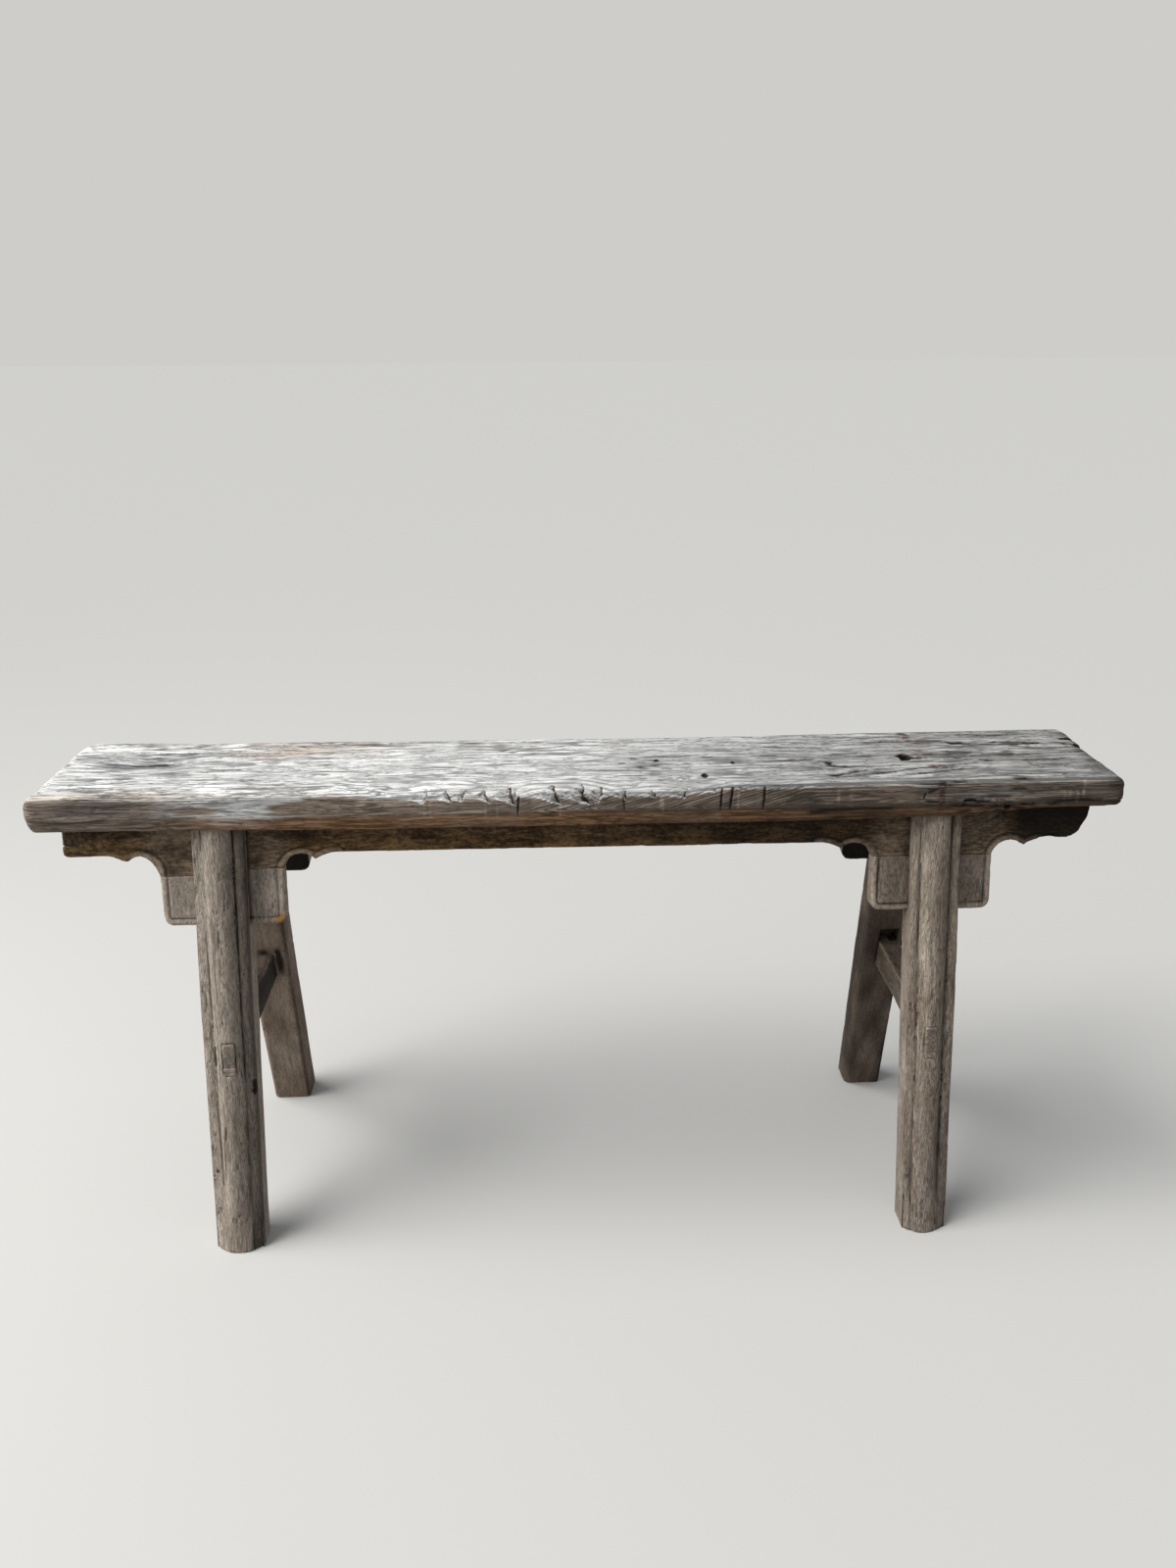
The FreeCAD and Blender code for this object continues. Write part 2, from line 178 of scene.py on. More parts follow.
def cloud(points: np.ndarray, size: Place, seed: int, octaves: int = 2) -> np.ndarray:
    """Layered noise whose lumps have a given size along each axis.

    Args:
        points: Places in millimetres.
        size: Size of the largest lumps in millimetres.
        seed: Picks one of many patterns.
        octaves: How many layers, each half as large and half as strong.

    Returns:
        Noise of about -1 to 1.
    """
    scaled = points / np.array(size)
    total = np.zeros(len(points))
    for layer in range(octaves):
        total += lattice(scaled * 2.0 ** layer, seed + 31 * layer) * 0.5 ** layer
    return total


def bulge(start: Point, end: Point, rise: float, steps: int) -> list[Point]:
    """Points of a circular arc, without its start.

    Args:
        start: Where the arc starts.
        end: Where the arc ends.
        rise: Height of the arc over its chord, to the left of the way from start to end.
        steps: How many points to give.

    Returns:
        The points, the end among them.
    """
    first, last = np.array(start), np.array(end)
    half = np.linalg.norm(last - first) / 2.0
    along = (last - first) / (2.0 * half)
    left = np.array((-along[1], along[0]))
    side = math.copysign(1.0, rise)
    radius = (half * half + rise * rise) / (2.0 * abs(rise))
    middle = (first + last) / 2.0 + left * (rise - side * radius)
    spread = math.atan2(half, radius - abs(rise))
    points = []
    for step in range(1, steps + 1):
        angle = spread * (2.0 * step / steps - 1.0)
        offset = along * math.sin(angle) + left * side * math.cos(angle)
        points.append(tuple(middle + radius * offset))
    return points


def from_line(points: np.ndarray, start: np.ndarray, end: np.ndarray) -> tuple[np.ndarray, np.ndarray]:
    """Find the place nearest to each point on a straight line between two ends.

    Args:
        points: Places, one per row.
        start: Start of the line.
        end: End of the line.

    Returns:
        The share of the way from start to end, and the way from there to the point.
    """
    run = end - start
    share = np.clip(((points - start) @ run) / max(run @ run, 1e-9), 0.0, 1.0)
    return share, points - start - share[:, None] * run


def node_box(node: str) -> tuple[np.ndarray, np.ndarray]:
    """Lowest and highest corner of a node of the frame, in millimetres."""
    low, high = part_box(node)
    return np.array(low) / MM, np.array(high) / MM


# Modelling by hand

def deselect() -> None:
    """Leave nothing selected, so that an operator acts on its own piece alone."""
    bpy.ops.object.select_all(action="DESELECT")


def pick(obj: bpy.types.Object) -> None:
    """Make a piece the only one selected, and the active one.

    Args:
        obj: The piece.
    """
    deselect()
    obj.select_set(True)
    bpy.context.view_layer.objects.active = obj


@contextmanager
def editing(obj: bpy.types.Object) -> Iterator[None]:
    """Open a piece's mesh for editing, and close it afterwards.

    Args:
        obj: The piece.

    Yields:
        Nothing. The mesh is open meanwhile.
    """
    pick(obj)
    bpy.ops.object.mode_set(mode="EDIT")
    yield
    bpy.ops.object.mode_set(mode="OBJECT")


def add_block(name: str, low: Place, high: Place) -> bpy.types.Object:
    """Add a cube that fills a box.

    Args:
        name: Name of the new piece.
        low: Lowest corner.
        high: Highest corner.

    Returns:
        The new piece, with its place in its mesh.
    """
    deselect()
    first, last = Vector(low), Vector(high)
    bpy.ops.mesh.primitive_cube_add(size=1.0, location=(first + last) / 2.0, scale=last - first)
    bpy.ops.object.transform_apply(location=True, rotation=True, scale=True)
    obj = bpy.context.object
    obj.name = name
    return obj


def add_board(name: str, outline: list[Point], near: float, far: float) -> bpy.types.Object:
    """Fill an outline in x and z and extrude it along y.

    Args:
        name: Name of the new piece.
        outline: Corners in order.
        near: The y of the outline.
        far: The y that it is extruded to.

    Returns:
        The new piece.
    """
    deselect()
    bpy.ops.mesh.primitive_circle_add(vertices=len(outline), radius=1.0, fill_type="NGON")
    obj = bpy.context.object
    obj.name = name
    set_points(obj, np.array([(x, near, z) for x, z in outline]))
    with editing(obj):
        bpy.ops.mesh.select_all(action="SELECT")
        bpy.ops.mesh.extrude_region_move(TRANSFORM_OT_translate={"value": (0.0, far - near, 0.0)})
    face_outwards(obj)
    return obj


def set_points(obj: bpy.types.Object, points: np.ndarray) -> None:
    """Move every point of a piece to a new place."""
    obj.data.vertices.foreach_set("co", points.ravel())
    obj.data.update()


def face_outwards(obj: bpy.types.Object) -> None:
    """Turn every face of a closed piece outwards.

    Args:
        obj: The piece.
    """
    with editing(obj):
        bpy.ops.mesh.select_all(action="SELECT")
        bpy.ops.mesh.normals_make_consistent(inside=False)


def carve(obj: bpy.types.Object, low: Place, high: Place, slope: float = 0.0) -> None:
    """Cut a box out of a piece.

    Args:
        obj: The piece.
        low: Lowest corner of the box.
        high: Highest corner of the box.
        slope: Rise of the box for each unit of y, for a level cut in a leaning piece.
    """
    cutter = add_block("cutter", low, high)
    for vertex in cutter.data.vertices:
        vertex.co.z += slope * vertex.co.y
    pick(obj)
    cut = obj.modifiers.new("cut", "BOOLEAN")
    cut.operation = "DIFFERENCE"
    cut.solver = "EXACT"
    cut.object = cutter
    bpy.ops.object.modifier_apply(modifier=cut.name)
    bpy.data.meshes.remove(cutter.data)


def even_out(obj: bpy.types.Object, grid: float) -> None:
    """Give a piece an even mesh, fine enough to take wear.

    Args:
        obj: The piece.
        grid: Size of the mesh's faces.
    """
    pick(obj)
    remesh = obj.modifiers.new("even", "REMESH")
    remesh.mode = "VOXEL"
    remesh.voxel_size = grid
    bpy.ops.object.modifier_apply(modifier=remesh.name)


def choose(obj: bpy.types.Object, kind: str, chosen: np.ndarray) -> None:
    """Select some of a piece's edges or faces, and nothing else.

    Args:
        obj: The piece.
        kind: The mesh's group to choose from, edges or polygons.
        chosen: Whether each of them is selected.
    """
    mesh = obj.data
    bpy.context.tool_settings.mesh_select_mode = (False, kind == "edges", kind == "polygons")
    for group in (mesh.vertices, mesh.edges, mesh.polygons):
        group.foreach_set("select", np.zeros(len(group), bool))
    getattr(mesh, kind).foreach_set("select", chosen)


def subdivide(obj: bpy.types.Object, kind: str, chosen: np.ndarray, cuts: int) -> None:
    """Subdivide some of a piece's edges or faces.

    Args:
        obj: The piece.
        kind: The mesh's group to choose from, edges or polygons.
        chosen: Whether each of them is subdivided.
        cuts: How many cuts each edge gets.
    """
    choose(obj, kind, chosen)
    with editing(obj):
        bpy.ops.mesh.subdivide(number_cuts=cuts)


def slice_along(obj: bpy.types.Object, axis: int, cuts: int) -> None:
    """Cut every edge along an axis into even lengths.

    Args:
        obj: The piece.
        axis: Number of the axis.
        cuts: How many cuts each edge gets.
    """
    points = read(obj.data.vertices, "co", 3)
    ends = read(obj.data.edges, "vertices", 2).astype(int)
    spans = np.abs(points[ends[:, 1]] - points[ends[:, 0]])
    subdivide(obj, "edges", spans[:, axis] > 0.9 * spans.sum(axis=1), cuts)


def read(group: bpy.types.bpy_prop_collection, name: str, width: int) -> np.ndarray:
    """Read one value of every item of a mesh as an array, one row per item.

    Args:
        group: Points, edges or faces of a mesh.
        name: Name of the value.
        width: How many numbers each item has.

    Returns:
        The values.
    """
    values = np.zeros(len(group) * width)
    group.foreach_get(name, values)
    return values.reshape(-1, width)


# Wear

# Distance over which a crack wanders, and how far off its line the surface may rise or fall
WANDER_SIZE = 22.0
CRACK_REACH = 6.0

# How far the grain of a piece is moved for each step of its seed
GRAIN_STEP = (37.0, 61.0, 83.0)


@dataclass(frozen=True)
class Crack:
    """A split or a saw cut: a narrow groove between two places."""

    start: Place
    end: Place
    width: float
    depth: float
    wander: float = 1.0


@dataclass(frozen=True)
class Dent:
    """A hollow: where it is, how far it reaches along each axis, and how deep it goes."""

    centre: Place
    reach: Place
    depth: float


@dataclass(frozen=True)
class Knot:
    """A knot that the grain runs round: where it is and how wide."""

    centre: Place
    reach: float


@dataclass(frozen=True)
class Patch:
    """A soft-edged place where a mask is stronger or weaker."""

    mask: Mask
    centre: Place
    reach: Place
    strength: float


class Surface:
    """The points of a piece in millimetres, with its grain and its masks."""

    def __init__(self, obj: bpy.types.Object, seed: int) -> None:
        """Read a piece's mesh.

        Args:
            obj: The piece.
            seed: Picks its noise.
        """
        self.obj = obj
        self.mesh = obj.data
        self.seed = seed
        self.points = read(self.mesh.vertices, "co", 3)
        self.edges = read(self.mesh.edges, "vertices", 2).astype(int)
        self.grain = self.points.copy()
        self.masks = {mask: np.zeros(len(self.points)) for mask in Mask}

    @property
    def normals(self) -> np.ndarray:
        """Directions that the points face now."""
        set_points(self.obj, self.points)
        return read(self.mesh.vertices, "normal", 3)

    def push(self, amount: np.ndarray) -> None:
        """Move each point along its normal by an amount."""
        self.points += self.normals * amount[:, None]

    def relief(self, rounds: int) -> np.ndarray:
        """How far each point stands out of its smoothed surroundings.

        Args:
            rounds: How many times the surroundings are smoothed.

        Returns:
            Millimetres, above zero on edges and below zero in hollows.
        """
        ends = np.concatenate((self.edges[:, 0], self.edges[:, 1]))
        others = np.concatenate((self.edges[:, 1], self.edges[:, 0]))
        count = np.maximum(np.bincount(ends, minlength=len(self.points)), 1)
        smooth = self.points.copy()
        for _ in range(rounds):
            for axis in range(3):
                total = np.bincount(ends, smooth[others, axis], minlength=len(self.points))
                smooth[:, axis] = 0.5 * smooth[:, axis] + 0.5 * total / count
        return ((self.points - smooth) * self.normals).sum(axis=1)

    def split(self, crack: Crack, seed: int) -> None:
        """Open a crack: push its floor in and darken it.

        Args:
            crack: Where it runs and its size.
            seed: Picks how it wanders.
        """
        lumps = (WANDER_SIZE, WANDER_SIZE, WANDER_SIZE)
        sway = np.stack([cloud(self.points, lumps, seed + axis) for axis in range(3)], axis=1)
        moved = self.points + sway * crack.wander
        share, offset = from_line(moved, np.array(crack.start), np.array(crack.end))
        normals = self.normals
        lift = (offset * normals).sum(axis=1)
        flat = np.linalg.norm(offset - normals * lift[:, None], axis=1)
        away = np.hypot(flat, np.clip(np.abs(lift) - CRACK_REACH, 0.0, None))
        taper = np.sqrt(np.clip(4.0 * share * (1.0 - share), 0.04, 1.0))
        open_share = np.exp(-((away / (crack.width * taper)) ** 2))
        self.push(-crack.depth * taper * open_share)
        self.masks[Mask.GRIME] += open_share

    def dent(self, dent: Dent) -> None:
        """Press a hollow with a ragged edge into the surface.

        Args:
            dent: Where it is and its size.
        """
        away = (self.points - np.array(dent.centre)) / np.array(dent.reach)
        ragged = 1.0 + 0.35 * cloud(self.points, (7.0, 7.0, 7.0), self.seed + 5)
        share = ease(np.linalg.norm(away, axis=1) * ragged, 1.15, 0.45)
        self.push(-dent.depth * share)
        self.masks[Mask.GRIME] += 8.0 * share

    def knot(self, knot: Knot) -> None:
        """Turn the grain into rings about a knot and darken its heart.

        Args:
            knot: Where it is and its size.
        """
        away = np.linalg.norm(self.points - np.array(knot.centre), axis=1) / knot.reach
        share = np.exp(-0.9 * away ** 2)
        self.grain[:, 1] += share * (2.2 * knot.reach * away - self.grain[:, 1])
        self.grain[:, 0] += share * (40.0 - self.grain[:, 0])
        self.masks[Mask.GRIME] += 0.4 * np.exp(-((2.0 * away) ** 2))
        self.push(0.4 * np.exp(-((away - 0.8) / 0.3) ** 2) - 0.5 * np.exp(-((2.0 * away) ** 2)))

    def paint(self, patch: Patch) -> None:
        """Strengthen a mask about a place, with a broken edge.

        Args:
            patch: The mask, its place and its strength.
        """
        away = (self.points - np.array(patch.centre)) / np.array(patch.reach)
        ragged = cloud(self.grain, (60.0, 7.0, 7.0), self.seed + 8, 3)
        share = ease(np.linalg.norm(away, axis=1) + 0.6 * ragged, 1.3, 0.2)
        self.masks[patch.mask] += patch.strength * share

    def write(self, place: Matrix) -> None:
        """Set the points in their place in the bench and keep the grain and the masks on the mesh.

        Args:
            place: From the piece's own millimetres to the bench's metres.
        """
        set_points(self.obj, self.points)
        self.mesh.transform(place)
        for mask, values in self.masks.items():
            layer = self.mesh.attributes.new(mask.value, "FLOAT", "POINT")
            layer.data.foreach_set("value", np.clip(values, 0.0, 1.0))
        offset = np.array(GRAIN_STEP) * self.seed
        layer = self.mesh.attributes.new("grain", "FLOAT_VECTOR", "POINT")
        layer.data.foreach_set("vector", (self.grain + offset).ravel())
        self.mesh.update()


# Finishes

@dataclass(frozen=True)
class WoodFinish:
    """One kind of aged wood: its colours, and how strongly its figure and wear show."""

    slot: str
    dark: Colour
    middle: Colour
    light: Colour
    silver_dark: Colour
    silver_light: Colour
    ochre: Colour
    ochre_dark: Colour
    fibre: Point = (32.0, 1.4)
    streak: Point = (90.0, 5.0)
    dash: Point = (24.0, 1.7)
    dashes: float = 0.45
    mottle: Point = (7.0, 3.0)
    line: Point = (80.0, 6.0)
    line_width: float = 0.034
    hair_edge: Point = (0.56, 0.66)
    speckle: float = 0.24
    lift: float = 0.0
    contrast: float = 1.0
    patchy: float = 0.6
    pits: float = 0.3
    lines: float = 0.45
    crack: Point = (34.0, 5.0)
    crackle: float = 0.35
    bump: float = 0.5
    # Colour of the dark marks, of dirt and of painted shade
    grime: Colour = srgb(22, 17, 13)
    stain: Colour = srgb(78, 80, 86)
    rust: Colour = srgb(112, 52, 42)
    bare: Colour = srgb(228, 210, 190)


class NodeSheet:
    """A material's nodes, added and joined with short calls."""

    def __init__(self, name: str) -> None:
        """Start a material with its shader alone.

        Args:
            name: Name of the material.
        """
        self.material = bpy.data.materials.new(name)
        self.material.use_nodes = True
        self.tree = self.material.node_tree
        self.shader = self.tree.nodes["Principled BSDF"]

    def add(self, kind: str, inputs: dict, **settings: object) -> bpy.types.Node:
        """Add a node.

        Args:
            kind: The node's type.
            inputs: Numbers or sockets for its inputs, by name or number.
            settings: Properties of the node.

        Returns:
            The new node.
        """
        node = self.tree.nodes.new(kind)
        for key, value in settings.items():
            setattr(node, key, value)
        for key, value in inputs.items():
            self.feed(node.inputs[key], value)
        return node

    def feed(self, socket: Socket, value: object) -> None:
        """Join a socket to another one, or set its number."""
        if isinstance(value, Socket):
            self.tree.links.new(value, socket)
        else:
            socket.default_value = value

    def attribute(self, name: str, output: str) -> Socket:
        """Read an attribute of the mesh."""
        return self.add("ShaderNodeAttribute", {}, attribute_name=name).outputs[output]

    def math(self, operation: str, first: object, second: object) -> Socket:
        """Work two numbers into one."""
        return self.add("ShaderNodeMath", {0: first, 1: second}, operation=operation).outputs[0]

    def times(self, first: object, second: object) -> Socket:
        """Multiply two numbers."""
        return self.math("MULTIPLY", first, second)

    def plus(self, first: object, second: object) -> Socket:
        """Add two numbers."""
        return self.math("ADD", first, second)

    def minus(self, first: object, second: object) -> Socket:
        """Take the second number from the first."""
        return self.math("SUBTRACT", first, second)

    def most(self, first: object, second: object) -> Socket:
        """The larger of two numbers."""
        return self.math("MAXIMUM", first, second)

    def vector(self, operation: str, first: object, second: object) -> Socket:
        """Work two vectors into one."""
        return self.add("ShaderNodeVectorMath", {0: first, 1: second}, operation=operation).outputs[0]

    def noise(self, vector: object, size: Point, detail: float = 2.0, rough: float = 0.55,
              output: str = "Fac") -> Socket:
        """Noise whose lumps have a given size along the grain and across it.

        Args:
            vector: Where to read it.
            size: Length of its lumps along the grain and across it.
            detail: How many finer layers it has.
            rough: How strong the finer layers are.
            output: Fac for a number, Color for three.

        Returns:
            The noise, from 0 to 1.
        """
        scaled = self.stretch(vector, size)
        inputs = {"Vector": scaled, "Scale": 1.0, "Detail": detail, "Roughness": rough}
        return self.add("ShaderNodeTexNoise", inputs).outputs[output]

    def stretch(self, vector: object, size: Point) -> Socket:
        """Scale places so that a length along the grain and one across it become one."""
        return self.vector("MULTIPLY", vector, (1.0 / size[0], 1.0 / size[1], 1.0 / size[1]))

    def contour(self, vector: object, size: Point, width: float) -> Socket:
        """Thin wandering lines along the grain, as long and as far apart as a size says.

        Args:
            vector: Where to read them.
            size: Length along the grain and distance across it.
            width: Half the share of the noise that counts as line.

        Returns:
            1 on a line and 0 off it.
        """
        away = self.math("ABSOLUTE", self.minus(self.noise(vector, size), 0.5), 0.0)
        return self.span(away, width, 0.35 * width)

    def span(self, value: object, low: float, high: float, start: float = 0.0, end: float = 1.0
             ) -> Socket:
        """Stretch a range of a number to another range, smoothly and without passing its ends."""
        inputs = {"Value": value, "From Min": low, "From Max": high, "To Min": start, "To Max": end}
        return self.add("ShaderNodeMapRange", inputs, interpolation_type="SMOOTHSTEP").outputs[0]

    def mix(self, share: object, first: object, second: object, blend: str = "MIX") -> Socket:
        """Mix two colours by a share."""
        node = self.add("ShaderNodeMix", {0: share, 6: first, 7: second}, data_type="RGBA", blend_type=blend)
        return node.outputs[2]

    def ramp(self, share: object, colours: tuple[Colour, ...]) -> Socket:
        """Run a number from 0 to 1 through evenly spaced colours.

        Args:
            share: The number.
            colours: The colours in order.

        Returns:
            The colour.
        """
        node = self.add("ShaderNodeValToRGB", {0: share})
        stops = node.color_ramp.elements
        while len(stops) < len(colours):
            stops.new(1.0)
        for index, colour in enumerate(colours):
            stops[index].position = index / (len(colours) - 1)
            stops[index].color = colour
        return node.outputs[0]


class AgedWood:
    """The material of one kind of aged wood, built up in layers over shared noises."""

    drift_size: Point = (110.0, 34.0)
    drift: Place = (0.0, 11.0, 11.0)
    blotch_size: Point = (60.0, 26.0)
    pit_size: Point = (6.0, 2.4)
    specular: float = 0.2

    def __init__(self, finish: WoodFinish) -> None:
        """Lay out the noises that follow the grain.

        Args:
            finish: The wood's colours and figure.
        """
        self.finish = finish
        self.sheet = sheet = NodeSheet(finish.slot)
        self.masks = {mask: sheet.attribute(mask.value, "Fac") for mask in Mask}
        grain = sheet.attribute("grain", "Vector")
        sway = sheet.noise(grain, self.drift_size, output="Color")
        sway = sheet.vector("MULTIPLY", sheet.vector("SUBTRACT", sway, (0.5, 0.5, 0.5)), self.drift)
        self.flow = sheet.vector("ADD", grain, sway)
        self.fibre = sheet.noise(self.flow, finish.fibre, 5.0, 0.72)
        self.streak = sheet.noise(self.flow, finish.streak, 5.0, 0.68)
        self.dash = sheet.noise(self.flow, finish.dash)
        self.blotch = sheet.noise(grain, self.blotch_size, 3.0)
        self.mottle = sheet.noise(grain, finish.mottle, 4.0, 0.7)

    def tone(self) -> Socket:
        """How light the wood is: its figure, or plain blotches where it was left smooth.

        Returns:
            A number from 0 to 1.
        """
        sheet, finish = self.sheet, self.finish
        tone = sheet.plus(sheet.times(self.fibre, 0.56 - finish.speckle), sheet.times(self.streak, 0.24))
        tone = sheet.plus(tone, sheet.times(self.blotch, 0.2))
        tone = sheet.plus(tone, sheet.times(self.mottle, finish.speckle))
        half = 0.13 / finish.contrast
        tone = sheet.span(tone, 0.5 - half - finish.lift, 0.5 + half - finish.lift)
        even = sheet.plus(sheet.times(self.blotch, 0.55), sheet.times(self.mottle, 0.45))
        even = sheet.span(even, 0.3 - 2.0 * finish.lift, 0.7 - 2.0 * finish.lift)
        return sheet.plus(tone, sheet.times(sheet.minus(even, tone), self.masks[Mask.SMOOTH]))

    def colour(self, tone: Socket) -> Socket:
        """Brown wood that is silvered, then warmed, worn bare, stained and rusted.

        Args:
            tone: How light the wood is.

        Returns:
            The colour before its dark marks.
        """
        sheet, finish, bleach = self.sheet, self.finish, self.masks[Mask.BLEACH]
        brown = sheet.ramp(tone, (finish.dark, finish.middle, finish.light))
        silver = sheet.ramp(tone, (finish.silver_dark, finish.silver_light))
        ochre = sheet.mix(0.88, brown, sheet.mix(tone, finish.ochre_dark, finish.ochre))
        patchy = sheet.minus(sheet.plus(self.blotch, sheet.times(self.fibre, 0.7)), 0.85)
        bleached = sheet.span(sheet.plus(bleach, sheet.times(patchy, finish.patchy)), 0.1, 0.9)
        colour = sheet.mix(sheet.times(bleached, sheet.span(bleach, 0.0, 0.12)), brown, silver)
        layers = ((Mask.WARM, self.blotch, (0.3, 0.6, 0.55, 1.0), ochre),
                  (Mask.WEAR, self.mottle, (0.3, 0.65, 0.25, 0.8), finish.bare),
                  (Mask.STAIN, self.fibre, (0.35, 0.6, 1.0, 0.2), finish.stain),
                  (Mask.RUST, self.mottle, (0.35, 0.6, 0.1, 1.0), finish.rust))
        for mask, noise, limits, layer in layers:
            share = sheet.times(self.masks[mask], sheet.span(noise, *limits))
            colour = sheet.mix(share, colour, layer)
        return colour

    def marks(self) -> list[Socket]:
        """The small dark marks that break the surface.

        Returns:
            Lines, short hairs, pits and crackle, each 1 on a mark and 0 off it.
        """
        sheet, finish = self.sheet, self.finish
        pit = sheet.span(sheet.noise(self.flow, self.pit_size, 1.0), 0.66, 0.76)
        pit = sheet.times(pit, sheet.span(self.blotch, 0.45, 0.62))
        line = sheet.contour(self.flow, finish.line, finish.line_width)
        line = sheet.times(line, sheet.span(self.blotch, 0.35, 0.6, 0.3, 1.0))
        closer = (finish.line[0] * 0.6, finish.line[1] * 0.5)
        fine_line = sheet.contour(self.flow, closer, 1.4 * finish.line_width)
        line = sheet.most(line, sheet.times(fine_line, sheet.span(self.mottle, 0.4, 0.6)))
        hair = sheet.span(self.dash, *finish.hair_edge)
        hair = sheet.times(hair, sheet.span(self.blotch, 0.3, 0.55, 0.4, 1.0))
        inputs = {"Vector": sheet.stretch(self.flow, finish.crack), "Scale": 1.0}
        cell = sheet.add("ShaderNodeTexVoronoi", inputs, feature="DISTANCE_TO_EDGE").outputs[0]
        crackle = sheet.times(sheet.span(cell, 0.07, 0.01), sheet.span(self.dash, 0.38, 0.56))
        return [line, hair, pit, crackle]

    def build(self) -> bpy.types.Material:
        """Join the layers to the shader.

        Returns:
            The material.
        """
        sheet, finish, shader = self.sheet, self.finish, self.sheet.shader
        tone, marks = self.tone(), self.marks()
        rough_share = sheet.minus(1.0, sheet.times(self.masks[Mask.SMOOTH], 0.85))
        dark, height = 0.0, sheet.plus(sheet.times(self.fibre, 0.7), sheet.times(self.streak, 0.7))
        for mark, strength in zip(marks, (finish.lines, finish.dashes, finish.pits, finish.crackle)):
            dark = sheet.most(dark, sheet.times(mark, strength))
        for mark, depth in zip(marks, (0.4, 0.5, finish.pits, finish.crackle)):
            height = sheet.minus(height, sheet.times(mark, depth))
        colour = sheet.mix(sheet.times(dark, rough_share), self.colour(tone), finish.grime)
        # Dirt and painted shade from the mask darken the colour here
        colour = sheet.mix(sheet.times(self.masks[Mask.GRIME], 0.98), colour, finish.grime)
        sheet.feed(shader.inputs["Base Color"], colour)
        sheet.feed(shader.inputs["Roughness"], sheet.span(tone, 0.0, 1.0, 0.9, 0.76))
        shader.inputs["Specular IOR Level"].default_value = self.specular
        relief = {"Strength": 1.0, "Distance": finish.bump * MM, "Height": sheet.times(height, rough_share)}
        sheet.feed(shader.inputs["Normal"], sheet.add("ShaderNodeBump", relief).outputs[0])
        return sheet.material


SEAT_WOOD = WoodFinish("seat_wood", srgb(80, 65, 54), srgb(140, 121, 107), srgb(188, 171, 155),
                       srgb(146, 141, 136), srgb(254, 254, 252), srgb(178, 126, 74), srgb(104, 70, 40),
                       fibre=(70.0, 1.1), streak=(200.0, 2.2), dash=(80.0, 1.2), dashes=0.6,
                       mottle=(8.0, 1.4), line=(170.0, 6.5), line_width=0.055, hair_edge=(0.63, 0.67),
                       speckle=0.16, lift=0.09, contrast=0.76, patchy=0.4, pits=0.6, lines=0.74,
                       crack=(55.0, 7.0), crackle=0.5, bump=0.8)
APRON_WOOD = WoodFinish("apron_wood", srgb(46, 34, 23), srgb(86, 67, 48), srgb(134, 108, 78),
                        srgb(112, 99, 87), srgb(164, 151, 138), srgb(146, 114, 66), srgb(66, 48, 29),
                        fibre=(10.0, 2.4), streak=(34.0, 10.0), dash=(7.0, 2.2), dashes=0.35,
                        mottle=(5.0, 4.0), line=(60.0, 9.0), contrast=1.5, pits=0.5, lines=0.12,
                        crackle=0.1, bump=0.3)
SPANDREL_WOOD = WoodFinish("spandrel_wood", srgb(88, 76, 65), srgb(140, 126, 113), srgb(178, 164, 150),
                           srgb(120, 110, 100), srgb(184, 172, 160), srgb(214, 150, 62), srgb(150, 104, 48),
                           fibre=(8.0, 2.0), streak=(24.0, 8.0), dash=(5.0, 2.0), dashes=0.4,
                           mottle=(4.0, 3.4), line=(50.0, 9.0), contrast=0.9, pits=0.6, lines=0.1,
                           crackle=0.1, bump=0.35)
LEG_WOOD = WoodFinish("leg_wood", srgb(88, 74, 62), srgb(144, 127, 112), srgb(186, 169, 152),
                      srgb(122, 110, 98), srgb(212, 199, 184), srgb(150, 122, 88), srgb(104, 80, 58),
                      fibre=(10.0, 1.0), streak=(26.0, 3.2), dash=(8.0, 1.2), dashes=0.5, mottle=(3.0, 1.9),
                      line=(40.0, 4.5), contrast=0.85, pits=0.75, lines=0.4, crack=(24.0, 4.0),
                      crackle=0.3, bump=0.5)
STRETCHER_WOOD = WoodFinish("stretcher_wood", srgb(66, 54, 44), srgb(104, 90, 77), srgb(140, 125, 110),
                            srgb(124, 116, 107), srgb(184, 174, 163), srgb(128, 100, 68), srgb(80, 60, 42),
                            fibre=(14.0, 1.6), streak=(40.0, 5.0), dash=(12.0, 1.8), dashes=0.4,
                            line=(60.0, 6.0), contrast=0.9, pits=0.3, lines=0.3, bump=0.4)
WEDGE_WOOD = WoodFinish("wedge_wood", srgb(92, 80, 68), srgb(150, 136, 120), srgb(190, 176, 158),
                        srgb(140, 132, 124), srgb(200, 192, 180), srgb(160, 130, 92), srgb(110, 86, 60),
                        fibre=(12.0, 1.2), streak=(30.0, 4.0), dash=(9.0, 1.6), dashes=0.3, contrast=0.9,
                        pits=0.2, lines=0.2, bump=0.3)


# Shared joinery

# Height of a quarter circle over its chord, for a radius of one
CORNER_RISE = 0.293

# How far a cutter reaches past the face that it enters by
OVERSHOOT = 5.0


